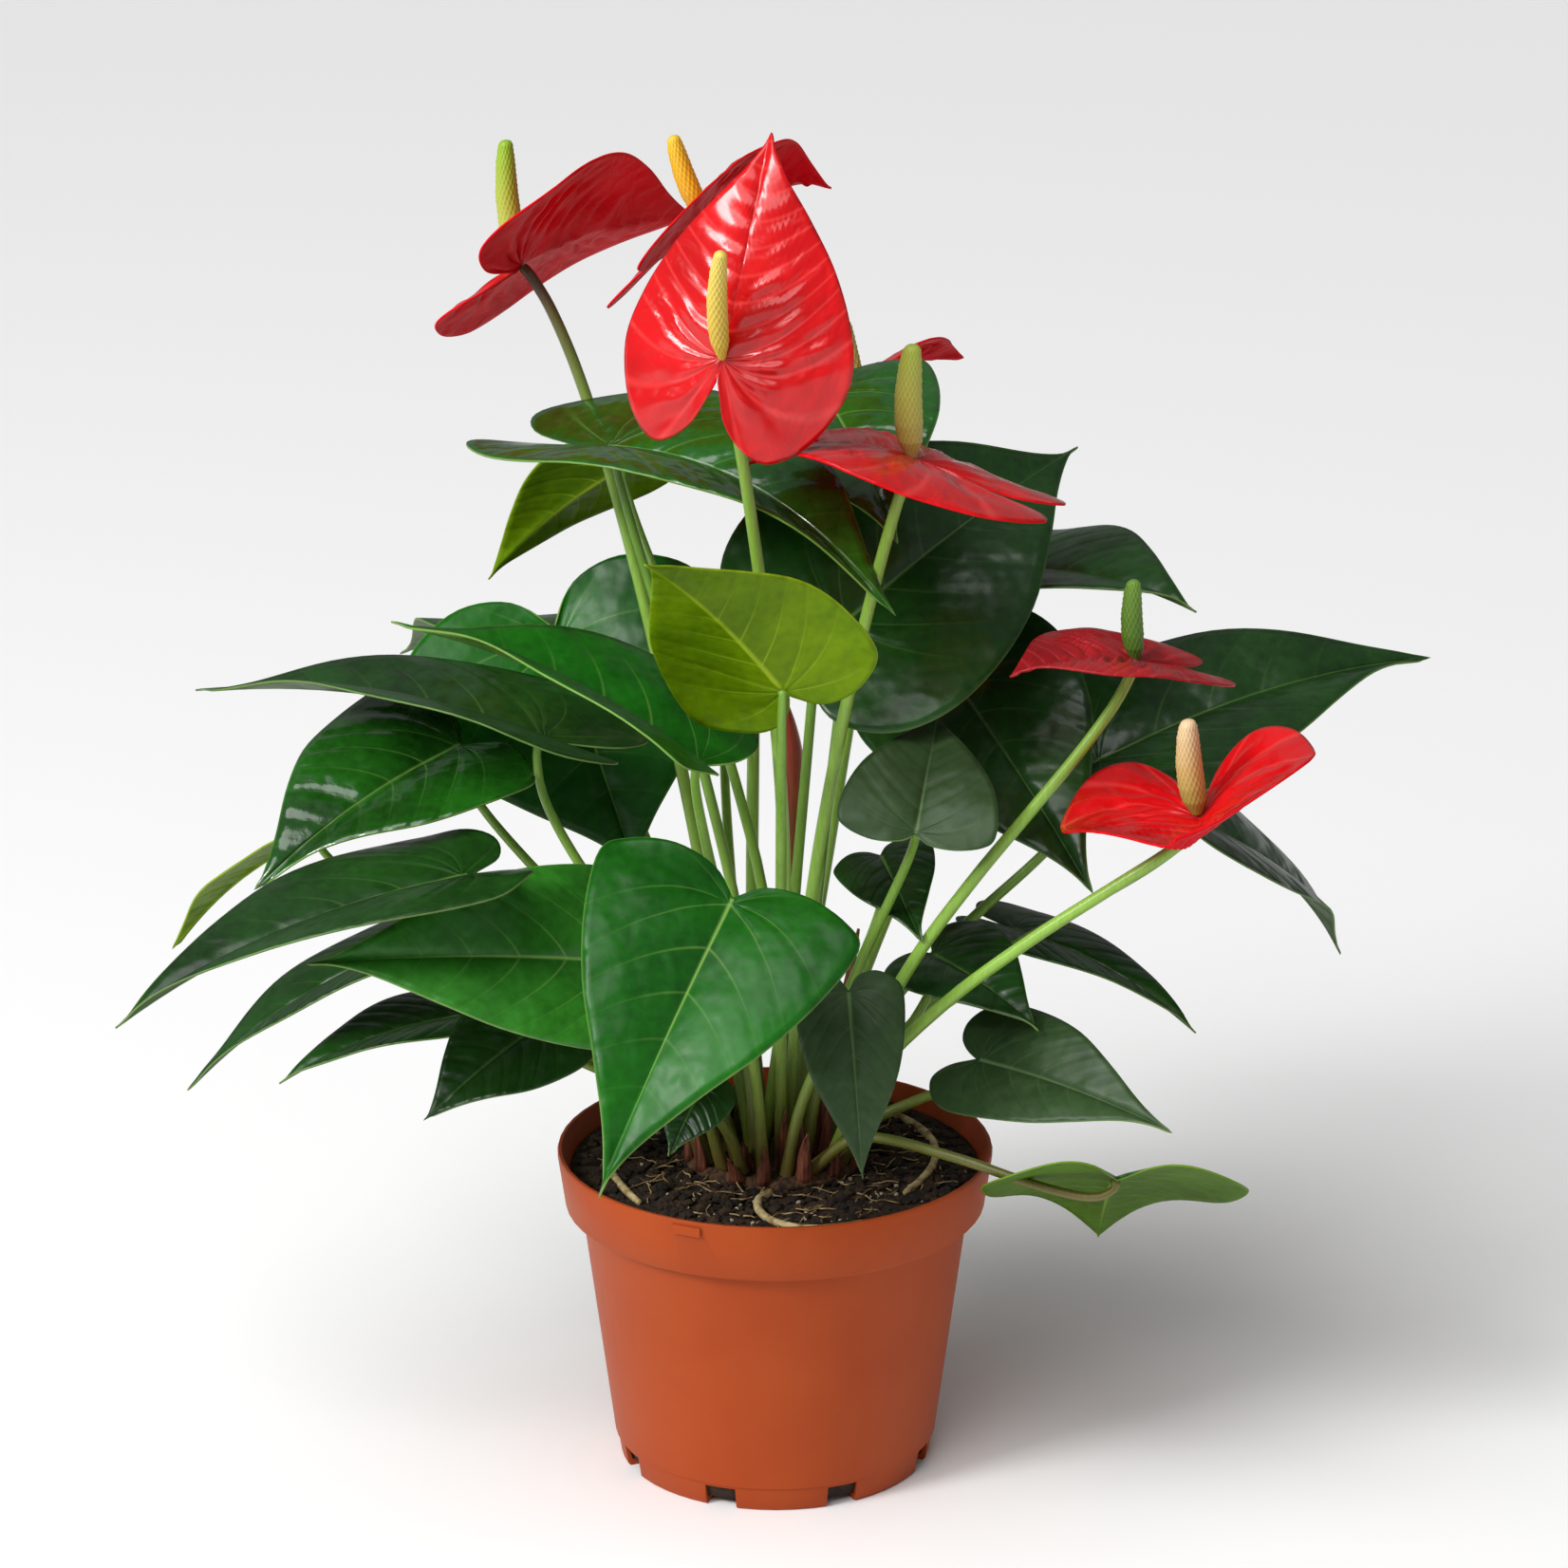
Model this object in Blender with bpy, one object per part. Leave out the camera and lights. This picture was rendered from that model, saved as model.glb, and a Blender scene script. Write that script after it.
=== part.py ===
"""Potted anthurium: a thin plastic nursery pot, soil, a clump of heart-shaped leaves
and seven flowers, each a stalk, a coloured bract (spathe) and an upright spike (spadix).

Lengths are in millimetres and angles in degrees until a mesh is written in metres.
The origin is the middle of the pot's base, +Z is up and the plant's front faces -Y.
"""

import math

import bpy
import numpy as np

for old in list(bpy.data.objects):
    bpy.data.objects.remove(old)

METRES_PER_MM = 0.001
SEAT_GAP = 0.3

# Pot
POT_HEIGHT = 124.0
RIM_RADIUS = 82.5
BAND_HEIGHT = 22.5
BAND_TAPER = 3.1
BAND_LIP_ROUND = 1.2
BAND_PROUD = 9.1
WALL_TAPER = 12.0
FOOT_HEIGHT = 10.0
FOOT_STEP = 0.9
FOOT_TAPER = 2.2
POT_WALL = 1.8
POT_FLOOR = 2.4
POT_SIDES = 56
DRAINS = 8
DRAIN_WIDTH = 12.0
DRAIN_HEIGHT = 8.6
DRAIN_DEPTH = 9.2
DRAIN_BEARING = -110.0
TAB_BEARING = -113.0
TAB_WIDTH = 11.0
TAB_HEIGHT = 3.6
TAB_PROUD = 0.5
TAB_DROP = 1.6

# Soil and the crown of stem bases that stands on it
SOIL_BELOW_RIM = 5.0
SOIL_DISH = 2.5
CROWN_RADIUS = 36.0
SOIL_FLAT_MARGIN = 14.0
CROWN_HEIGHT = 4.0
CROWN_ROUND = 2.4
SOIL_SIDES = 40

# Rings of stem feet on the crown
RING_SHARES = (0.25, 0.528, 0.82)
RING_FEET = (6, 13, 22)

# Leaves
BLADE_THICKNESS = 0.8
PETIOLE_FOOT_RADIUS = 2.2
PETIOLE_TOP_RADIUS = 1.4
PETIOLE_SIDES = 6
PETIOLE_STEPS = 6
STALK_CROWDING = 1.5

# Flowers
SPATHE_THICKNESS = 0.9
PEDUNCLE_FOOT_RADIUS = 2.4
PEDUNCLE_TOP_RADIUS = 1.9
PEDUNCLE_STEPS = 8
SPADIX_ROOT_SHARE = 0.36
SPADIX_TIP_SHARE = 0.62
SPADIX_SIDES = 8

BAND_LOWER_RADIUS = RIM_RADIUS - BAND_TAPER
WALL_TOP_RADIUS = RIM_RADIUS - BAND_PROUD
WALL_FOOT_RADIUS = WALL_TOP_RADIUS - WALL_TAPER
FOOT_RADIUS = WALL_FOOT_RADIUS - FOOT_TAPER
SOIL_TOP = POT_HEIGHT - SOIL_BELOW_RIM
CROWN_BASE = SOIL_TOP + SEAT_GAP
CROWN_TOP = CROWN_BASE + CROWN_HEIGHT
FOOT_LEVEL = CROWN_TOP + SEAT_GAP


def material(name, colour, roughness, metallic=0.0):
    made = bpy.data.materials.new(name)
    made.use_nodes = True
    shader = made.node_tree.nodes["Principled BSDF"]
    shader.inputs["Base Color"].default_value = (*colour, 1.0)
    shader.inputs["Roughness"].default_value = roughness
    shader.inputs["Metallic"].default_value = metallic
    return made


def solid(name, points, faces, finish, smooth=True):
    """An object from points in millimetres; faces may be triangles or quads."""
    mesh = bpy.data.meshes.new(name)
    mesh.from_pydata((np.asarray(points) * METRES_PER_MM).tolist(), [], faces)
    mesh.validate()
    if smooth:
        mesh.polygons.foreach_set("use_smooth", [True] * len(mesh.polygons))
        mesh.set_sharp_from_angle(angle=math.radians(40))
    made = bpy.data.objects.new(name, mesh)
    bpy.context.scene.collection.objects.link(made)
    mesh.materials.append(finish)
    return made


def unit(vector):
    return vector / np.linalg.norm(vector)


def on_bearing(radius, bearing, height):
    turn = math.radians(bearing)
    return np.array([radius * math.cos(turn), radius * math.sin(turn), height])


def turned(profile, sides):
    """Points and faces of a profile of (radius, height) turned about Z.

    The profile starts and ends on the axis and runs anticlockwise seen with +Z up
    and the radius to the right, so that the faces look outwards.
    """
    points = [(0.0, 0.0, profile[0][1])]
    for radius, height in profile[1:-1]:
        for k in range(sides):
            points.append(on_bearing(radius, 360.0 * k / sides, height))
    points.append((0.0, 0.0, profile[-1][1]))
    last = len(points) - 1
    rings = len(profile) - 2
    faces = []
    for k in range(sides):
        n = (k + 1) % sides
        faces.append((0, 1 + n, 1 + k))
        for ring in range(rings - 1):
            low = 1 + ring * sides
            high = low + sides
            faces.append((low + k, low + n, high + n, high + k))
        top = 1 + (rings - 1) * sides
        faces.append((top + k, top + n, last))
    return points, faces


def cut(target, cutter, operation="DIFFERENCE"):
    """Applies a Boolean of target with cutter, which is then removed."""
    boolean = target.modifiers.new(operation.lower(), "BOOLEAN")
    boolean.object = cutter
    boolean.operation = operation
    boolean.solver = "EXACT"
    graph = bpy.context.evaluated_depsgraph_get()
    mesh = bpy.data.meshes.new_from_object(target.evaluated_get(graph))
    target.modifiers.remove(boolean)
    target.data = mesh
    bpy.data.objects.remove(cutter)


def block(name, inner, outer, width, low, high, bearing, finish):
    """A block from one radius to another, standing across a bearing."""
    out = on_bearing(1.0, bearing, 0.0)
    across = on_bearing(1.0, bearing + 90.0, 0.0)
    points = []
    for z in (low, high):
        for radius, side in ((inner, -1), (outer, -1), (outer, 1), (inner, 1)):
            points.append(out * radius + across * side * width / 2 + np.array([0.0, 0.0, z]))
    faces = [(3, 2, 1, 0), (4, 5, 6, 7)]
    for k in range(4):
        n = (k + 1) % 4
        faces.append((k, n, 4 + n, 4 + k))
    return solid(name, points, faces, finish, smooth=False)


# ---------------------------------------------------------------- pot, soil, crown

TERRACOTTA = material("terracotta_plastic", (0.40, 0.10, 0.035), 0.45)
SOIL = material("potting_soil", (0.025, 0.014, 0.009), 0.95)
CROWN = material("stem_base_fibre", (0.07, 0.035, 0.018), 0.9)

BAND_BOTTOM = POT_HEIGHT - BAND_HEIGHT


def wall_radius(height):
    """The outside of the tapered wall under the band."""
    share = (height - FOOT_HEIGHT) / (BAND_BOTTOM - FOOT_HEIGHT)
    return WALL_FOOT_RADIUS + share * (WALL_TOP_RADIUS - WALL_FOOT_RADIUS)


def inside_radius(height):
    """The inside of the pot: the wall's taper, then the wider band."""
    if height <= BAND_BOTTOM:
        return wall_radius(height) - POT_WALL
    share = (height - BAND_BOTTOM) / BAND_HEIGHT
    lower = WALL_TOP_RADIUS - POT_WALL
    return lower + share * (RIM_RADIUS - POT_WALL - lower)


pot_profile = [
    (0.0, 0.0),
    (FOOT_RADIUS - 1.0, 0.0),
    (FOOT_RADIUS, 1.0),
    (WALL_FOOT_RADIUS - FOOT_STEP, FOOT_HEIGHT - 0.6),
    (WALL_FOOT_RADIUS, FOOT_HEIGHT),
    (WALL_TOP_RADIUS, BAND_BOTTOM),
    (BAND_LOWER_RADIUS - BAND_LIP_ROUND, BAND_BOTTOM),
    (BAND_LOWER_RADIUS, BAND_BOTTOM + BAND_LIP_ROUND),
    (RIM_RADIUS - 0.2, POT_HEIGHT - BAND_LIP_ROUND),
    (RIM_RADIUS - BAND_LIP_ROUND / 2, POT_HEIGHT),
    (RIM_RADIUS - POT_WALL, POT_HEIGHT),
    (WALL_TOP_RADIUS - POT_WALL, BAND_BOTTOM),
    (wall_radius(FOOT_HEIGHT) - POT_WALL, FOOT_HEIGHT),
    (FOOT_RADIUS - POT_WALL, POT_FLOOR),
    (0.0, POT_FLOOR),
]
pot = solid("pot", *turned(pot_profile, POT_SIDES), TERRACOTTA)
for k in range(DRAINS):
    bearing = DRAIN_BEARING + 360.0 * k / DRAINS
    reach = WALL_FOOT_RADIUS + 10.0
    cutter = block(
        "drain_cutter", FOOT_RADIUS - DRAIN_DEPTH, reach, DRAIN_WIDTH, -5.0, DRAIN_HEIGHT, bearing, TERRACOTTA
    )
    cut(pot, cutter)
tab_top = POT_HEIGHT - TAB_DROP
tab = block(
    "tab_block",
    RIM_RADIUS - POT_WALL / 2 - 0.4,
    RIM_RADIUS + TAB_PROUD,
    TAB_WIDTH,
    tab_top - TAB_HEIGHT,
    tab_top,
    TAB_BEARING,
    TERRACOTTA,
)
cut(pot, tab, "UNION")
pot.data.polygons.foreach_set("use_smooth", [True] * len(pot.data.polygons))
pot.data.set_sharp_from_angle(angle=math.radians(30))

soil_foot = POT_FLOOR + SEAT_GAP
soil_profile = [
    (0.0, soil_foot),
    (FOOT_RADIUS - POT_WALL - 2 * SEAT_GAP, soil_foot),
    (inside_radius(FOOT_HEIGHT) - SEAT_GAP, FOOT_HEIGHT),
    (inside_radius(BAND_BOTTOM) - SEAT_GAP, BAND_BOTTOM),
    (inside_radius(SOIL_TOP - SOIL_DISH) - 2 * SEAT_GAP, SOIL_TOP - SOIL_DISH),
    (CROWN_RADIUS + SOIL_FLAT_MARGIN, SOIL_TOP),
    (0.0, SOIL_TOP),
]
soil = solid("soil", *turned(soil_profile, SOIL_SIDES), SOIL)

crown_profile = [
    (0.0, CROWN_BASE),
    (CROWN_RADIUS, CROWN_BASE),
    (CROWN_RADIUS, CROWN_BASE + CROWN_HEIGHT - CROWN_ROUND),
    (CROWN_RADIUS - CROWN_ROUND, CROWN_TOP),
    (0.0, CROWN_TOP),
]
crown = solid("crown", *turned(crown_profile, SOIL_SIDES), CROWN)


# ---------------------------------------------------------------- tubes and blades


def bezier(ends, steps, crowding=1.0):
    """Points along a cubic curve and its directions, from four control points.
    A crowding above 1 sets the points closer together towards the curve's end."""
    a, b, c, d = (np.asarray(p, float) for p in ends)
    places = []
    for k in range(steps + 1):
        s = (1.0 - k / steps) ** crowding
        t = 1.0 - s
        point = s**3 * a + 3 * s * s * t * b + 3 * s * t * t * c + t**3 * d
        along = s * s * (b - a) + 2 * s * t * (c - b) + t * t * (d - c)
        places.append((point, unit(along)))
    return places


def tube_rings(places, radii, sides, first_across):
    """Rings of points about a path; each ring's start turns as little as it can."""
    across = np.asarray(first_across, float)
    rings = []
    for (centre, along), radius in zip(places, radii):
        across = unit(across - along * (across @ along))
        other = np.cross(along, across)
        ring = []
        for k in range(sides):
            turn = 2 * math.pi * k / sides
            ring.append(centre + radius * (across * math.cos(turn) + other * math.sin(turn)))
        rings.append(ring)
    return rings


def skin(rings, sides, start):
    """Faces between rings of the same number of points, laid out one after another."""
    faces = []
    for ring in range(len(rings) - 1):
        low = start + ring * sides
        high = low + sides
        for k in range(sides):
            n = (k + 1) % sides
            faces.append((low + k, low + n, high + n, high + k))
    return faces


def tube(name, ends, radii, sides, steps, finish, crowding=1.0):
    """A closed round bar along a cubic curve; radii are (share along it, radius)."""
    places = bezier(ends, steps, crowding)
    if ends[1][2] > ends[0][2] + 1.0:
        places[0] = (places[0][0], np.array([0.0, 0.0, 1.0]))
    shares, sizes = zip(*radii)
    sizes = [np.interp(k / steps, shares, sizes) for k in range(steps + 1)]
    rings = tube_rings(places, sizes, sides, (1.0, 0.13, 0.07))
    points = [p for ring in rings for p in ring]
    faces = skin(rings, sides, 0)
    faces.append(tuple(reversed(range(sides))))
    faces.append(tuple(range(len(points) - sides, len(points))))
    return solid(name, points, faces, finish)


# Half outlines from the tip to the notch behind the stem, as (share of the length
# from stem to tip, share of the half width).
LEAF_HALF = (
    (0.93, 0.045),
    (0.80, 0.22),
    (0.62, 0.52),
    (0.42, 0.81),
    (0.20, 0.97),
    (0.00, 1.00),
    (-0.16, 0.85),
    (-0.26, 0.52),
    (-0.22, 0.20),
)
LEAF_NOTCH = -0.06
SPATHE_HALF = (
    (0.94, 0.07),
    (0.82, 0.27),
    (0.66, 0.58),
    (0.46, 0.85),
    (0.22, 0.99),
    (-0.02, 0.98),
    (-0.24, 0.80),
    (-0.35, 0.48),
    (-0.26, 0.16),
)
SPATHE_NOTCH = -0.07


def outline(half, notch):
    """The closed outline anticlockwise from the tip, seen from the upper side."""
    left = [(u, v) for u, v in half]
    right = [(u, -v) for u, v in reversed(half)]
    return [(1.0, 0.0)] + left + [(notch, 0.0)] + right


class Blade:
    """A leaf blade or spathe: where it starts and ends, which way its upper side
    faces, its width, and how it arches along and folds across its midrib."""

    def __init__(self, row, half, notch, thickness):
        stem, tip, face = row["stem"], row["tip"], row["face"]
        self.stem = np.asarray(stem, float)
        chord = np.asarray(tip, float) - self.stem
        self.length = np.linalg.norm(chord)
        self.along = chord / self.length
        face = np.asarray(face, float)
        self.normal = unit(face - self.along * (face @ self.along))
        self.across = np.cross(self.normal, self.along)
        self.half_width = row["width"] / 2
        self.arch = row.get("arch", 0.06)
        self.fold = row.get("fold", 0.12)
        self.lobe = row.get("lobe", 1.0)
        self.taper = row.get("taper", 0.0)
        # How far the left half is turned up about the midrib
        self.turned_up = math.radians(row.get("turned_up", 0.0))
        # The upper side's own direction where the stem meets the arched midrib
        self.facing = unit(self.normal - self.along * (4 * self.arch))
        self.rim = outline(half, notch)
        self.thickness = thickness

    def point(self, u, v):
        """A point of the upper side, v in half widths."""
        if u >= 0.0:
            v *= 1.0 - self.taper * u
            rise = 4 * self.arch * u * (1 - u)
        else:
            u *= self.lobe
            rise = 4 * self.arch * u
        side = v * self.half_width
        lift = rise * self.length + self.fold * abs(side)
        if side > 0.0:
            lift += side * math.sin(self.turned_up)
            side *= math.cos(self.turned_up)
        flat = self.along * (u * self.length) + self.across * side
        return self.stem + flat + self.normal * lift

    def under(self, u, v):
        return self.point(u, v) - self.normal * self.thickness


TOP_SHARES = (0.36, 0.70, 1.0)
UNDER_SHARES = (1.0, 0.55)


def blade_skin(blade, points, faces):
    """Adds the blade's upper side, rim and underside down to its innermost ring of
    the underside, and returns that ring's indices."""
    spokes = len(blade.rim)
    centre = len(points)
    points.append(blade.point(0.0, 0.0))
    rings = []
    for share in TOP_SHARES:
        rings.append(range(len(points), len(points) + spokes))
        for u, v in blade.rim:
            points.append(blade.point(u * share, v * share))
    for share in UNDER_SHARES:
        rings.append(range(len(points), len(points) + spokes))
        for u, v in blade.rim:
            points.append(blade.under(u * share, v * share))
    for k in range(spokes):
        n = (k + 1) % spokes
        faces.append((centre, rings[0][k], rings[0][n]))
        for inner, outer in zip(rings, rings[1:]):
            faces.append((inner[k], outer[k], outer[n]))
            faces.append((inner[k], outer[n], inner[n]))
    return list(rings[-1])


def bridge(points, outer, inner, middle, normal, faces):
    """Joins a big ring to a small one inside it with triangles, matching them by
    their angle about the middle. Both run anticlockwise about the normal."""
    across = unit(points[outer[0]] - middle)
    other = np.cross(normal, across)

    def angles(ring):
        found = []
        for index in ring:
            arm = points[index] - middle
            found.append(math.atan2(arm @ other, arm @ across))
        return found

    def started(ring):
        found = angles(ring)
        first = min(range(len(ring)), key=lambda k: abs(found[k]))
        turned_ring = ring[first:] + ring[:first]
        turned_angles = [found[first]]
        for k in range(1, len(ring)):
            angle = found[(first + k) % len(ring)]
            while angle < turned_angles[-1]:
                angle += 2 * math.pi
            turned_angles.append(angle)
        return turned_ring + turned_ring[:1], turned_angles + [turned_angles[0] + 2 * math.pi]

    big, big_angles = started(outer)
    small, small_angles = started(inner)
    i = 0
    j = 0
    while i < len(big) - 1 or j < len(small) - 1:
        step_big = i < len(big) - 1
        if step_big and j < len(small) - 1:
            step_big = big_angles[i + 1] <= small_angles[j + 1]
        if step_big:
            faces.append((big[i], small[j], big[i + 1]))
            i += 1
        else:
            faces.append((big[i], small[j], small[j + 1]))
            j += 1


def foot_place(ring, slot):
    bearing = 360.0 * slot / RING_FEET[ring]
    return on_bearing(CROWN_RADIUS * RING_SHARES[ring], bearing, FOOT_LEVEL)


def stalk_path(foot, top, arrival, row):
    """Control points of a stalk that leaves its foot nearly upright and meets its
    top along the arrival direction. The row's bow moves its lower part sideways."""
    reach = np.linalg.norm(top - foot)
    bow = np.array([*row.get("bow", (0, 0)), 0.0])
    out = (top - foot) * np.array([1.0, 1.0, 0.0]) * row.get("lean", 0.08)
    start = foot + np.array([0.0, 0.0, 0.38 * reach]) + out + bow
    end = top - arrival * row.get("hook", min(0.24 * reach, 42.0))
    return foot, start, end, top


def leaf(name, row, finish):
    """One leaf: the petiole from its foot on the crown, grown into the blade."""
    blade = Blade(row, LEAF_HALF, LEAF_NOTCH, BLADE_THICKNESS)
    points = []
    faces = []
    under = blade_skin(blade, points, faces)
    top = blade.under(0.0, 0.0)
    foot = foot_place(*row["foot"])
    places = bezier(stalk_path(foot, top, blade.facing, row), PETIOLE_STEPS, STALK_CROWDING)
    places[0] = (places[0][0], np.array([0.0, 0.0, 1.0]))
    places[-1] = (places[-1][0], blade.facing)
    radii = []
    for k in range(PETIOLE_STEPS + 1):
        share = k / PETIOLE_STEPS
        radii.append(PETIOLE_FOOT_RADIUS + share * (PETIOLE_TOP_RADIUS - PETIOLE_FOOT_RADIUS))
    rings = tube_rings(places, radii, PETIOLE_SIDES, blade.across)
    start = len(points)
    for ring in rings:
        points.extend(ring)
    faces.extend(skin(rings, PETIOLE_SIDES, start))
    faces.append(tuple(reversed(range(start, start + PETIOLE_SIDES))))
    last = len(points) - PETIOLE_SIDES
    inner = list(range(last, len(points)))
    bridge(points, under, inner, top, blade.normal, faces)
    return solid(name, points, faces, finish)


def spathe(name, blade, finish):
    """The bract alone: a thin folded heart closed on its underside."""
    points = []
    faces = []
    under = blade_skin(blade, points, faces)
    middle = len(points)
    points.append(blade.under(0.0, 0.0))
    for k in range(len(under)):
        n = (k + 1) % len(under)
        faces.append((under[k], middle, under[n]))
    return solid(name, points, faces, finish)


def spadix(name, root, along, length, radius, finish):
    """The fleshy spike: a bar that swells a little, narrows and ends round."""
    stations = (
        (0.0, SPADIX_ROOT_SHARE),
        (0.15, 0.88),
        (0.30, 1.0),
        (0.55, 0.96),
        (0.82, 0.80),
        (0.95, SPADIX_TIP_SHARE),
        (1.0, 0.28),
    )
    bow = unit(np.cross(along, (0.3, 1.0, 0.2)))
    places = []
    radii = []
    for share, size in stations:
        sway = bow * (0.035 * length * math.sin(math.pi * share))
        places.append((root + along * (share * length) + sway, along))
        radii.append(radius * size)
    rings = tube_rings(places, radii, SPADIX_SIDES, bow)
    points = [p for ring in rings for p in ring]
    faces = skin(rings, SPADIX_SIDES, 0)
    faces.append(tuple(reversed(range(SPADIX_SIDES))))
    faces.append(tuple(range(len(points) - SPADIX_SIDES, len(points))))
    return solid(name, points, faces, finish)


def flower(number, row, finishes):
    """One flower: its peduncle, then the spathe 0.3 mm above that, then the spadix."""
    blade = Blade(row, SPATHE_HALF, SPATHE_NOTCH, SPATHE_THICKNESS)
    spathe("spathe_%d" % number, blade, finishes["spathe"])
    # The arched underside dips below its own tangent by this much over the stalk's end
    dip = PEDUNCLE_TOP_RADIUS * 4 * abs(blade.arch) * UNDER_SHARES[-1]
    dip += PEDUNCLE_TOP_RADIUS * max(0.0, -math.sin(blade.turned_up))
    top = blade.under(0.0, 0.0) - blade.facing * (SEAT_GAP + dip)
    foot = foot_place(*row["foot"])
    ends = stalk_path(foot, top, blade.facing, row)
    radii = ((0.0, PEDUNCLE_FOOT_RADIUS), (1.0, PEDUNCLE_TOP_RADIUS))
    stalk = finishes["stalk"]
    tube("peduncle_%d" % number, ends, radii, PETIOLE_SIDES, PEDUNCLE_STEPS, stalk, STALK_CROWDING)
    along = unit(np.asarray(row["spike"], float))
    tilt = math.sqrt(max(0.0, 1.0 - (along @ blade.facing) ** 2)) + abs(blade.fold)
    clear = SEAT_GAP + row["spike_radius"] * SPADIX_ROOT_SHARE * tilt
    root = blade.point(0.0, 0.0) + blade.facing * clear
    size = (row["spike_length"], row["spike_radius"])
    spadix("spadix_%d" % number, root, along, *size, finishes["spadix"])


# ---------------------------------------------------------------- the plant
# Each row places one leaf. foot is (ring, place in it) on the crown; stem is where
# the petiole meets the blade and tip the blade's tip, both from the middle of the
# crown's top; face is the way the upper side looks; width is across the blade.

LEAF_DARK = material("leaf_mature", (0.020, 0.075, 0.018), 0.42)
LEAF_MID = material("leaf_green", (0.028, 0.16, 0.022), 0.38)
LEAF_YOUNG = material("leaf_young", (0.14, 0.22, 0.008), 0.38)

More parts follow.
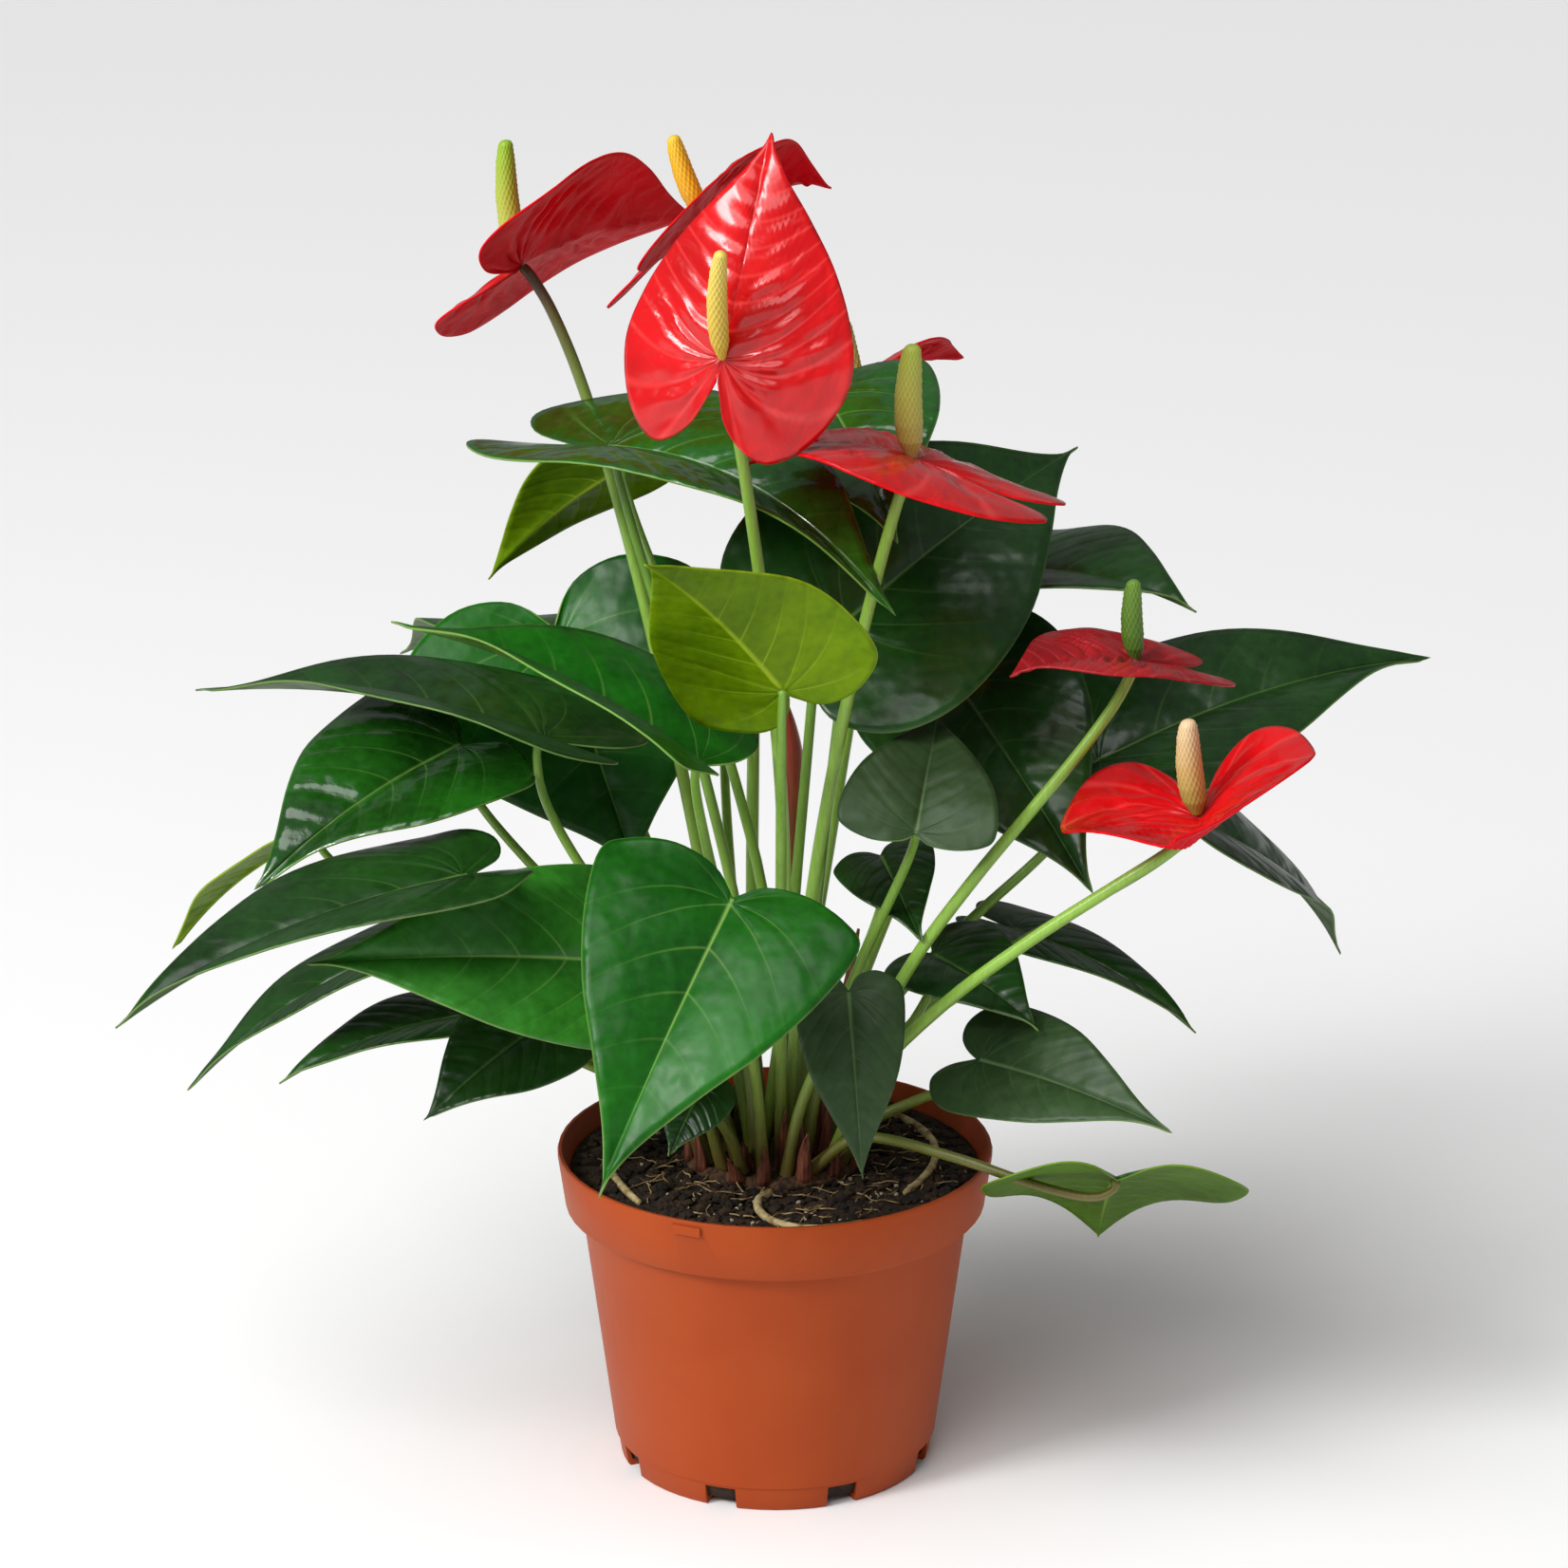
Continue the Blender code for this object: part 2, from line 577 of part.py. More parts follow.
LEAVES = {
    # Front of the clump, from the big heart that hangs over the rim outwards
    "leaf_01": dict(foot=(2, 16), stem=(-16, -78, 124), tip=(-62, -138, 36), face=(0, -1, 0.9),
                   width=101, lobe=0.42, taper=0.35),
    "leaf_02": dict(foot=(1, 9), stem=(-27, -75, 177), tip=(-138, -35, 216), face=(0, 0.12, 1),
                   width=90, fold=0.25, lobe=0.4, hook=12, bow=(0, 20)),
    "leaf_03": dict(foot=(1, 10), stem=(3, -85, 206), tip=(-44, -130, 265), face=(0, 0.8, 0.5),
                   width=76, lobe=0.7, hook=12),
    "leaf_04": dict(foot=(2, 17), stem=(27, -50, 79), tip=(32, -73, 16), face=(0, -1, 0.5),
                   width=40, lobe=0.5),
    "leaf_05": dict(foot=(2, 15), stem=(-27, -40, 38), tip=(-39, -55, 18), face=(0, -0.8, 1), width=28),
    "leaf_06": dict(foot=(2, 14), stem=(-59, -54, 94), tip=(-166, -89, 106), face=(0, -1.4, 1), width=70),
    # High in the clump
    "leaf_07": dict(foot=(0, 2), stem=(-59, 10, 270), tip=(43, -60, 226), face=(0, -0.12, 1),
                   width=86, fold=0.22, arch=0.13, lobe=1.4, bow=(4, -6)),
    "leaf_08": dict(foot=(1, 5), stem=(-58, 84, 243), tip=(-111, 107, 193), face=(0, 0.5, 0.6),
                   width=50, bow=(46, -2)),
    "leaf_09": dict(foot=(1, 3), stem=(19, 45, 279), tip=(44, -25, 243), face=(0, -0.8, 1),
                   width=80, lobe=0.5, bow=(2, 6)),
    "leaf_10": dict(foot=(0, 0), stem=(26, 5, 205), tip=(114, 75, 253), face=(0, -1, 0.9), width=110),
    # Right side
    "leaf_11": dict(foot=(2, 3), stem=(88, 80, 204), tip=(156, 20, 206), face=(0, -0.2, 1), width=75),
    "leaf_12": dict(foot=(1, 0), stem=(122, 27, 145), tip=(252, 87, 168), face=(0, -0.35, 1),
                   width=90, lobe=0.6, bow=(0, 16)),
    "leaf_13": dict(foot=(2, 1), stem=(161, 20, 122), tip=(221, 80, 49), face=(0.46, -0.02, 0.55),
                   width=60),
    "leaf_14": dict(foot=(1, 1), stem=(68, 34, 172), tip=(116, -36, 114), face=(0, -1, 0.8),
                   width=85, bow=(6, 8)),
    "leaf_15": dict(foot=(1, 11), stem=(51, -50, 142), tip=(60, -10, 175), face=(0, -0.8, 1),
                   width=58, lobe=0.5),
    "leaf_16": dict(foot=(2, 0), stem=(60, 2, 76), tip=(97, -43, 63), face=(0, -0.6, 1),
                   width=46, lobe=0.6),
    "leaf_17": dict(foot=(2, 20), stem=(77, -30, 46), tip=(143, -85, 40), face=(-0.1, -1, 1),
                   width=50, lobe=0.7),
    "leaf_18": dict(foot=(2, 18), stem=(RIM_RADIUS + 42.5, -60, 12),
                   tip=(RIM_RADIUS + 39.5, -12, -31), face=(0, 0.9, 0.8),
                   width=98, lobe=1.3, fold=-0.1),
    "leaf_19": dict(foot=(2, 2), stem=(92, 40, 73), tip=(159, 5, 45), face=(0, 0, 1),
                    width=40, fold=0.05),
    "leaf_20": dict(foot=(1, 2), stem=(40, 11, 111), tip=(54, -37, 95), face=(0, -1, 0.6),
                   width=38, lobe=0.5),
    # Left side
    "leaf_21": dict(foot=(1, 8), stem=(-86, -10, 166), tip=(-216, 25, 172), face=(0, 0.1, 1),
                   width=85, fold=0.2),
    "leaf_22": dict(foot=(2, 8), stem=(-82, 66, 179), tip=(-52, 31, 98), face=(0, -1, 0.45), width=124),
    "leaf_23": dict(foot=(1, 6), stem=(-85, 105, 169), tip=(-150, 165, 146), face=(0, 0.2, 1), width=85),
    "leaf_24": dict(foot=(1, 7), stem=(-118, 12, 155), tip=(-189, -46, 119), face=(0, -0.3, 1),
                   width=86, lobe=0.4),
    "leaf_25": dict(foot=(2, 13), stem=(-113, -61, 129), tip=(-233, -113, 92), face=(0, 0, 1),
                   width=76, lobe=0.6),
    "leaf_26": dict(foot=(2, 11), stem=(-172, 10, 121), tip=(-229, 30, 69), face=(0, 0.1, 1), width=50),
    "leaf_27": dict(foot=(2, 10), stem=(-142, 25, 71), tip=(-223, 10, 19), face=(0, 0, 1), width=50),
    "leaf_28": dict(foot=(2, 9), stem=(-121, 20, 45), tip=(-187, 0, 26), face=(0, -0.05, 1), width=45),
    "leaf_29": dict(foot=(2, 12), stem=(-87, -20, 55), tip=(-129, -50, 30), face=(0, -0.7, 1), width=50),
    # Behind
    "leaf_30": dict(foot=(2, 7), stem=(-20, 105, 150), tip=(-45, 200, 115), face=(0, 0.3, 1), width=90),
}

YOUNG_LEAVES = ("leaf_03", "leaf_08", "leaf_18", "leaf_26")
GREEN_LEAVES = ("leaf_01", "leaf_02", "leaf_06", "leaf_17", "leaf_24", "leaf_22")

for name, row in LEAVES.items():
    for key in ("stem", "tip"):
        row[key] = np.asarray(row[key], float) + np.array([0.0, 0.0, CROWN_TOP])
    finish = LEAF_DARK
    if name in YOUNG_LEAVES:
        finish = LEAF_YOUNG
    if name in GREEN_LEAVES:
        finish = LEAF_MID
    leaf(name, row, finish)

STALK = material("flower_stalk", (0.20, 0.36, 0.05), 0.4)
SPATHE = material("spathe_red", (0.62, 0.012, 0.012), 0.22)
SPADIX = material("spadix_yellow", (0.62, 0.50, 0.09), 0.6)
FLOWER_FINISHES = {"stalk": STALK, "spathe": SPATHE, "spadix": SPADIX}

FLOWERS = (
    dict(foot=(0, 3), stem=(-95, 77, 323), tip=(-31, 137, 329), face=(-0.35, 0.8, 0.75), width=90,
         spike=(-0.08, 0, 1), spike_length=46, spike_radius=4.4, lean=0.25, bow=(0, 6)),
    dict(foot=(0, 4), stem=(-18, -78, 324), tip=(-1, -60, 399), face=(0.05, -1, 0.25), width=92,
         spike=(0, -0.45, 0.89), spike_length=47, spike_radius=3.6, hook=16, fold=0.12,
         taper=0.4, lobe=1.2, turned_up=-42, bow=(26, -44)),
    dict(foot=(1, 4), stem=(-26, 65, 343), tip=(21, 90, 350), face=(-0.45, 0.4, 0.8), width=80,
         spike=(-0.34, 0, 0.94), spike_length=32, spike_radius=4.0, arch=0.12, lobe=2.2, bow=(-6, 44)),
    dict(foot=(0, 5), stem=(48, -53, 281), tip=(-11, -42, 275), face=(0.15, 0.1, 1), width=96,
         spike=(0, -0.1, 1), spike_length=42, spike_radius=5.0, lobe=2.4, fold=-0.05, arch=0.11),
    dict(foot=(0, 1), stem=(31, 85, 275), tip=(72, 118, 278), face=(0, 0.6, 1), width=60,
         spike=(-0.2, 0.3, 1), spike_length=24, spike_radius=3.8, bow=(8, 2)),
    dict(foot=(2, 21), stem=(130, -30, 200), tip=(84, -52, 202), face=(0, -0.1, 1), width=52,
         spike=(-0.04, 0, 1), spike_length=30, spike_radius=4.0, lobe=2.0, lean=0, bow=(-8, -34)),
    dict(foot=(2, 19), stem=(152, -60, 151), tip=(140, -104, 156), face=(-0.42, -0.35, 0.95), width=96,
         spike=(-0.12, -0.1, 1), spike_length=37, spike_radius=4.9, arch=-0.1, fold=0.3, lobe=1.6,
         hook=14, bow=(0, -20)),
)

for number, row in enumerate(FLOWERS, 1):
    for key in ("stem", "tip"):
        row[key] = np.asarray(row[key], float) + np.array([0.0, 0.0, CROWN_TOP])
    flower(number, row, FLOWER_FINISHES)


# ---------------------------------------------------------------- sheaths, bud, roots
# Papery sheaths stand at the foot of the stalks, a young bract is still rolled round
# its spadix on a stalk of its own, and three roots lie on the soil.

SHEATH = material("papery_sheath", (0.26, 0.055, 0.025), 0.7)
BUD = material("rolled_spathe", (0.40, 0.02, 0.015), 0.35)
ROOT = material("aerial_root", (0.33, 0.22, 0.12), 0.85)

SHEATH_RADIUS = 2.8
LOW_SHEATH_RADIUS = 2.6
BUD_STALK_RADIUS = 2.2
BUD_RADIUS = 5.2
BUD_STEPS = 12
ROOT_RADIUS = 1.4
ROOT_END_SHARE = 0.65
ROOT_STEPS = 10


def above_crown(x, y, height):
    return np.array([x, y, CROWN_TOP + height])


sheath_foot = foot_place(1, 12)
sheath_ends = (
    sheath_foot,
    sheath_foot + np.array([4.0, -2.0, 30.0]),
    above_crown(26.0, -12.0, 62.0),
    above_crown(31.0, -14.0, 92.0),
)
sheath_radii = (
    (0.0, 0.93 * SHEATH_RADIUS),
    (0.3, SHEATH_RADIUS),
    (0.7, 0.8 * SHEATH_RADIUS),
    (1.0, 0.2 * SHEATH_RADIUS),
)
tube("sheath_1", sheath_ends, sheath_radii, PETIOLE_SIDES, PETIOLE_STEPS, SHEATH)

low_foot = np.array([8.5, -23.4, FOOT_LEVEL])
low_ends = (
    low_foot,
    low_foot + np.array([0.0, 0.0, 9.0]),
    low_foot + np.array([0.0, -1.0, 18.0]),
    low_foot + np.array([1.0, -2.0, 27.0]),
)
low_radii = (
    (0.0, LOW_SHEATH_RADIUS),
    (0.4, 0.92 * LOW_SHEATH_RADIUS),
    (1.0, 0.27 * LOW_SHEATH_RADIUS),
)
tube("sheath_2", low_ends, low_radii, PETIOLE_SIDES, PETIOLE_STEPS, SHEATH)

bud_foot = foot_place(2, 5)
bud_ends = (
    bud_foot,
    bud_foot + np.array([-2.0, 12.0, 60.0]),
    above_crown(12.0, 56.0, 110.0),
    above_crown(3.0, 44.0, 165.0),
)
bud_radii = (
    (0.0, BUD_STALK_RADIUS),
    (0.66, 0.73 * BUD_STALK_RADIUS),
    (0.74, 0.69 * BUD_RADIUS),
    (0.86, BUD_RADIUS),
    (1.0, 0.15 * BUD_RADIUS),
)
tube("bud", bud_ends, bud_radii, SPADIX_SIDES, BUD_STEPS, BUD)


def soil_height(x, y):
    """The soil's surface: flat in the middle, then dished towards the wall."""
    radius = math.hypot(x, y)
    inner, inner_height = soil_profile[5]
    outer, outer_height = soil_profile[4]
    share = min(max((radius - inner) / (outer - inner), 0.0), 1.0)
    return inner_height + share * (outer_height - inner_height)


def lying_root(name, spots):
    """A root that lies along the soil through four control spots."""
    flat = [np.array([x, y, 0.0]) for x, y in spots]
    places = []
    for point, along in bezier(flat, ROOT_STEPS):
        rest = soil_height(point[0], point[1]) + ROOT_RADIUS + SEAT_GAP
        places.append((point + np.array([0.0, 0.0, rest]), along))
    taper = [
        ROOT_RADIUS * (1.0 + (ROOT_END_SHARE - 1.0) * k / ROOT_STEPS)
        for k in range(ROOT_STEPS + 1)
    ]
    rings = tube_rings(places, taper, PETIOLE_SIDES, (0.0, 0.0, -1.0))
    points = [p for ring in rings for p in ring]
    faces = skin(rings, PETIOLE_SIDES, 0)
    faces.append(tuple(reversed(range(PETIOLE_SIDES))))
    faces.append(tuple(range(len(points) - PETIOLE_SIDES, len(points))))
    return solid(name, points, faces, ROOT)


lying_root("root_front", ((-1, -39), (-16, -50), (0, -84), (34, -63)))
lying_root("root_right", ((44, 44), (66, 22), (66, -8), (48, -38)))
lying_root("root_left", ((-62, 14), (-66, -8), (-60, -26), (-50, -46)))
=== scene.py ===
import math

import bmesh
import bpy
import numpy as np
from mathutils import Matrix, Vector, noise


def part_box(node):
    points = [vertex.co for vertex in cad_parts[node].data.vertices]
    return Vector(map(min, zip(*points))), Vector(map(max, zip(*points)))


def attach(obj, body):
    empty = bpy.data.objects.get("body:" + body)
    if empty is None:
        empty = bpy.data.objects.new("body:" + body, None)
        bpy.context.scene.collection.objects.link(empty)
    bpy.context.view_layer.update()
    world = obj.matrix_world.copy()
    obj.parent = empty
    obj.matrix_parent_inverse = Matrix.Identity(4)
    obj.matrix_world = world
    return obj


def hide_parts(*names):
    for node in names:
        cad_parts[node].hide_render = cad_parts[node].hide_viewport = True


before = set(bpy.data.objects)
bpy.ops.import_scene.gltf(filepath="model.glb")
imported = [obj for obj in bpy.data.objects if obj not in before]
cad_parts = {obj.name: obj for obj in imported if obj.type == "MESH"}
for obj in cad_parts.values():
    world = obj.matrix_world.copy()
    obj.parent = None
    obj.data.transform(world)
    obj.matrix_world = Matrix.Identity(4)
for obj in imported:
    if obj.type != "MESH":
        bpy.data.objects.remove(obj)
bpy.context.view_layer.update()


# ---- Pot: a thin nursery pot of terracotta-coloured polypropylene, injection moulded
# in one piece, with a deep rolled band at the rim and drain slots round its foot. The
# moulded skin is satin and has a very fine spark-eroded grain.

def linear(hex_colour):
    """An sRGB hex colour as linear red, green, blue and alpha."""
    parts = [int(hex_colour[i:i + 2], 16) / 255 for i in (1, 3, 5)]
    parts = [c / 12.92 if c <= 0.04045 else ((c + 0.055) / 1.055) ** 2.4 for c in parts]
    return (*parts, 1.0)


def add(tree, kind, inputs=None, **settings):
    """Adds a node; each input is a value or the output socket to link to it."""
    made = tree.nodes.new(kind)
    for name, value in settings.items():
        setattr(made, name, value)
    for key, value in (inputs or {}).items():
        if isinstance(value, bpy.types.NodeSocket):
            tree.links.new(value, made.inputs[key])
        else:
            made.inputs[key].default_value = value
    return made


def new_material(name):
    """A material with its node tree and its shader."""
    made = bpy.data.materials.new(name)
    made.use_nodes = True
    return made, made.node_tree, made.node_tree.nodes["Principled BSDF"]


def two_tone(tree, fade, dark, light, start, end):
    """A colour that runs from dark to light as fade goes from start to end."""
    tint = add(tree, "ShaderNodeValToRGB", {"Fac": fade})
    for stop, place, colour in zip(tint.color_ramp.elements, (start, end), (dark, light)):
        stop.position = place
        stop.color = linear(colour)
    return tint.outputs["Color"]


def raised(tree, height, strength, depth, below=None):
    """Relief of a depth in metres, on top of the coarser relief below it."""
    relief = add(tree, "ShaderNodeBump", {"Height": height, "Strength": strength, "Distance": depth})
    if below is not None:
        tree.links.new(below, relief.inputs["Normal"])
    return relief.outputs["Normal"]


def dress(tree, shader, colour, roughness, relief=None):
    """Gives the shader its colour, roughness and relief."""
    tree.links.new(colour, shader.inputs["Base Color"])
    shader.inputs["Roughness"].default_value = roughness
    if relief is not None:
        tree.links.new(relief, shader.inputs["Normal"])


def placed(name, data):
    """A new object at the origin."""
    piece = bpy.data.objects.new(name, data)
    bpy.context.scene.collection.objects.link(piece)
    return piece


def select_only(piece):
    """Makes the piece the only selected and the active one."""
    for other in bpy.context.selected_objects:
        other.select_set(False)
    piece.select_set(True)
    bpy.context.view_layer.objects.active = piece


def apply_modifiers(piece):
    """Works the piece's modifiers into its mesh, in their order."""
    select_only(piece)
    for modifier in list(piece.modifiers):
        bpy.ops.object.modifier_apply(modifier=modifier.name)


WELD = 1e-5


def welded_copy(node, name):
    """A new object with the node's shape, its loose triangles joined."""
    piece = placed(name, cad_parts[node].data.copy())
    piece.data.materials.clear()
    shape = bmesh.new()
    shape.from_mesh(piece.data)
    bmesh.ops.remove_doubles(shape, verts=shape.verts, dist=WELD)
    shape.to_mesh(piece.data)
    shape.free()
    return piece


def seat(piece, node):
    """The piece rides on the plant's one body and stands for this CAD node, which is
    hidden."""
    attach(piece, "root")
    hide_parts(node)


# Terracotta-coloured polypropylene: satin, with a slow unevenness in the pigment
terracotta, tree, shader = new_material("terracotta_polypropylene")
place = add(tree, "ShaderNodeTexCoord").outputs["Object"]
clouds = add(tree, "ShaderNodeTexNoise", {"Vector": place, "Scale": 28.0, "Detail": 3.0})
tint = two_tone(tree, clouds.outputs["Fac"], "#A34218", "#A8481C", 0.3, 0.7)
grain = add(tree, "ShaderNodeTexNoise", {"Vector": place, "Scale": 900.0, "Detail": 2.0})
relief = raised(tree, grain.outputs["Fac"], 0.12, 0.0004)
dress(tree, shader, tint, 0.48, relief)
shader.inputs["Specular IOR Level"].default_value = 0.14

POT_EDGE = 0.0004
SHARP_CORNER = math.radians(40)
SMOOTH_BEND = math.radians(32)

pot = welded_copy("pot", "pot_shell")
pot.data.materials.append(terracotta)
bevel = pot.modifiers.new("rounded_edges", "BEVEL")
bevel.width = POT_EDGE
bevel.segments = 2
bevel.limit_method = "ANGLE"
bevel.angle_limit = SHARP_CORNER
apply_modifiers(pot)
bpy.ops.object.shade_smooth_by_angle(angle=SMOOTH_BEND)
seat(pot, "pot")


# ---- Soil: dark peat potting mix filled to just below the rim. Its top is loose:
# crumbs of peat, pale grains of perlite and broken fibres of moss lie on it.

def facing_up(shape, low):
    """The faces above a height that look upwards."""
    return [f for f in shape.faces if f.normal.z > 0.5 and f.calc_center_median().z > low]


soil_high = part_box("soil")[1]
soil_radius = soil_high.x
crown_low, crown_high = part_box("crown")
crown_radius = crown_high.x

# Peat: nearly black when moist, browner where the crumbs have dried
peat, tree, shader = new_material("moist_peat")
place = add(tree, "ShaderNodeTexCoord").outputs["Object"]
patches = add(tree, "ShaderNodeTexNoise", {"Vector": place, "Scale": 160.0, "Detail": 6.0})
tint = two_tone(tree, patches.outputs["Fac"], "#120A05", "#3E2915", 0.38, 0.68)
grit = add(tree, "ShaderNodeTexNoise", {"Vector": place, "Scale": 700.0, "Detail": 4.0})
relief = raised(tree, grit.outputs["Fac"], 0.9, 0.0012)
dress(tree, shader, tint, 0.95, relief)

SOIL_LUMP = 0.0016
SOIL_SKIN = 0.004
SOIL_FACET = 0.003

soil = welded_copy("soil", "soil_body")
soil.data.materials.append(peat)
shape = bmesh.new()
shape.from_mesh(soil.data)
for _ in range(5):
    top = facing_up(shape, soil_high.z - SOIL_SKIN)
    edges = {e for f in top for e in f.edges if e.calc_length() > SOIL_FACET}
    bmesh.ops.subdivide_edges(shape, edges=list(edges), cuts=1)
    bmesh.ops.triangulate(shape, faces=[f for f in shape.faces if len(f.verts) > 3])
for corner in shape.verts:
    if corner.co.z > soil_high.z - SOIL_SKIN and corner.co.xy.length < soil_radius - SOIL_SKIN:
        lump = noise.noise(corner.co * 90) + 0.6 * noise.noise(corner.co * 260)
        corner.co.z += SOIL_LUMP * (lump - 0.2)
shape.normal_update()
shape.to_mesh(soil.data)
shape.free()
soil.data.shade_smooth()
seat(soil, "soil")

# Near the wall the soil falls away a little, beyond a distance from the axis
dice = np.random.default_rng(7)
SOIL_FLAT = 0.05
SOIL_FALL = 0.0025


def soil_spot(inner, outer):
    """A random place on the soil between two distances from the pot's axis."""
    turn = dice.uniform(0, 2 * math.pi)
    reach = math.sqrt(dice.uniform(inner**2, outer**2))
    fall = max(0.0, reach - SOIL_FLAT) / (soil_radius - SOIL_FLAT) * SOIL_FALL
    return Vector((reach * math.cos(turn), reach * math.sin(turn), soil_high.z - fall))


def gathered_piece(name, gathered, finish):
    """The gathered shape as a new object in its finish."""
    mesh = bpy.data.meshes.new(name)
    gathered.to_mesh(mesh)
    gathered.free()
    mesh.materials.append(finish)
    return placed(name, mesh)


def scattered(name, finish, count, sizes, flatness, spots):
    """One mesh of many small rough lumps, each a squashed and turned icosphere."""
    gathered = bmesh.new()
    for _ in range(count):
        size = dice.uniform(*sizes)
        made = bmesh.ops.create_icosphere(gathered, subdivisions=1, radius=1.0)["verts"]
        stretch = Vector((size, size * dice.uniform(0.6, 1.0), size * dice.uniform(*flatness)))
        turn = dice.uniform(0, 2 * math.pi)
        spot = soil_spot(*spots) + Vector((0, 0, 0.3 * stretch.z))
        for corner in made:
            rough = 1.0 + 0.35 * noise.noise(corner.co * 1.7 + spot * 4000)
            x, y, z = (corner.co[i] * stretch[i] * rough for i in range(3))
            corner.co = spot + Vector(
                (x * math.cos(turn) - y * math.sin(turn), x * math.sin(turn) + y * math.cos(turn), z)
            )
    return gathered_piece(name, gathered, finish)


# Crumbs and grains: how many, their sizes, how flat they are, and how near the axis and
# the wall they lie
CRUMBS = (1500, (0.0008, 0.0030), (0.4, 0.8), (0.030, soil_radius - 0.003))
GRAINS = (150, (0.0005, 0.0013), (0.6, 0.9), (0.036, soil_radius - 0.004))

crumbs = scattered("soil_crumbs", peat, *CRUMBS)
seat(crumbs, "soil")

# Perlite: expanded volcanic glass, off-white and matt
perlite, tree, shader = new_material("perlite_grains")
place = add(tree, "ShaderNodeTexCoord").outputs["Object"]
pores = add(tree, "ShaderNodeTexNoise", {"Vector": place, "Scale": 900.0, "Detail": 2.0})
tint = two_tone(tree, pores.outputs["Fac"], "#7A6650", "#CDBFA6", 0.0, 1.0)
dress(tree, shader, tint, 0.9)
grains = scattered("soil_grains", perlite, *GRAINS)
seat(grains, "soil")


def bar(name, lines, finish, smooth_sides=2):
    """Round bars as one mesh. Each line is a list of (place, radius)."""
    data = bpy.data.curves.new(name, "CURVE")
    data.dimensions = "3D"
    data.bevel_depth = 1.0
    data.bevel_resolution = smooth_sides
    data.use_fill_caps = True
    for line in lines:
        spline = data.splines.new("POLY")
        spline.points.add(len(line) - 1)
        for point, (spot, radius) in zip(spline.points, line):
            point.co = (*spot, 1.0)
            point.radius = radius
    piece = placed(name, data)
    data.materials.append(finish)
    select_only(piece)
    bpy.ops.object.convert(target="MESH")
    piece.data.shade_smooth()
    return piece


# Moss and peat fibres: straw-coloured, dull, half a millimetre thick
fibre, tree, shader = new_material("dry_moss_fibre")
place = add(tree, "ShaderNodeTexCoord").outputs["Object"]
mottle = add(tree, "ShaderNodeTexNoise", {"Vector": place, "Scale": 220.0, "Detail": 2.0})
tint = two_tone(tree, mottle.outputs["Fac"], "#5A4128", "#B79C6B", 0.35, 0.65)
dress(tree, shader, tint, 0.85)

STRANDS = 170
STRAND_RADIUS = 0.00022
STRAND_SWELL = 0.00012
STRAND_CLEAR = 0.0012

strands = []
for _ in range(STRANDS):
    start = soil_spot(0.034, soil_radius - 0.012)
    heading = dice.uniform(0, 2 * math.pi)
    step = dice.uniform(0.0012, 0.0030)
    spot = start + Vector((0, 0, STRAND_CLEAR))
    strand = []
    for k in range(6):
        strand.append((spot.copy(), STRAND_RADIUS + STRAND_SWELL * (k in (1, 2, 3))))
        heading += dice.uniform(-0.5, 0.5)
        rise = dice.uniform(-0.0005, 0.0006)
        spot += Vector((step * math.cos(heading), step * math.sin(heading), rise))
    strands.append(strand)
fibres = bar("soil_fibres", strands, fibre, 0)
seat(fibres, "soil")


# ---- Crown: the low clump of old stem bases the plant grows from. It is brown and
# fibrous, and lumpy with the scars of the leaves that it has shed.

# Dead sheath and stem fibre: dry, streaked lengthwise
fibrous, tree, shader = new_material("fibrous_stem_base")
place = add(tree, "ShaderNodeTexCoord").outputs["Object"]
along = add(tree, "ShaderNodeMapping", {"Vector": place, "Scale": (1.0, 1.0, 0.12)})
streaks = add(
    tree, "ShaderNodeTexNoise", {"Vector": along.outputs["Vector"], "Scale": 500.0, "Detail": 5.0}
)
tint = two_tone(tree, streaks.outputs["Fac"], "#22130B", "#6B4A2C", 0.35, 0.7)
relief = raised(tree, streaks.outputs["Fac"], 0.8, 0.001)
dress(tree, shader, tint, 0.9, relief)

CROWN_FACET = 0.0035
CROWN_LUMP = 0.0022

crown = welded_copy("crown", "crown_clump")
crown.data.materials.append(fibrous)
shape = bmesh.new()
shape.from_mesh(crown.data)
for _ in range(4):
    edges = [e for e in shape.edges if e.calc_length() > CROWN_FACET]
    bmesh.ops.subdivide_edges(shape, edges=edges, cuts=1)
    bmesh.ops.triangulate(shape, faces=[f for f in shape.faces if len(f.verts) > 3])
for corner in shape.verts:
    lump = noise.noise(corner.co * 130) + 0.5 * noise.noise(corner.co * 400)
    if corner.co.z > crown_low.z + 0.0005:
        corner.co.z += CROWN_LUMP * lump
    rim = corner.co.xy.length / crown_radius
    corner.co.xy *= 1.0 + 0.05 * lump * rim - 0.03 * rim
shape.normal_update()
shape.to_mesh(crown.data)
shape.free()
crown.data.shade_smooth()
seat(crown, "crown")


# ---- Stalks: each leaf and flower stands on its own round green stalk, which springs
# from the crown and ends in a thicker knee under the blade.

def node_shape(node):
    """The node's welded shape as a bmesh."""
    shape = bmesh.new()
    shape.from_mesh(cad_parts[node].data)
    bmesh.ops.remove_doubles(shape, verts=shape.verts, dist=WELD)
    shape.normal_update()
    shape.verts.ensure_lookup_table()
    return shape


STALK_FOOT = crown_high.z + 0.0003


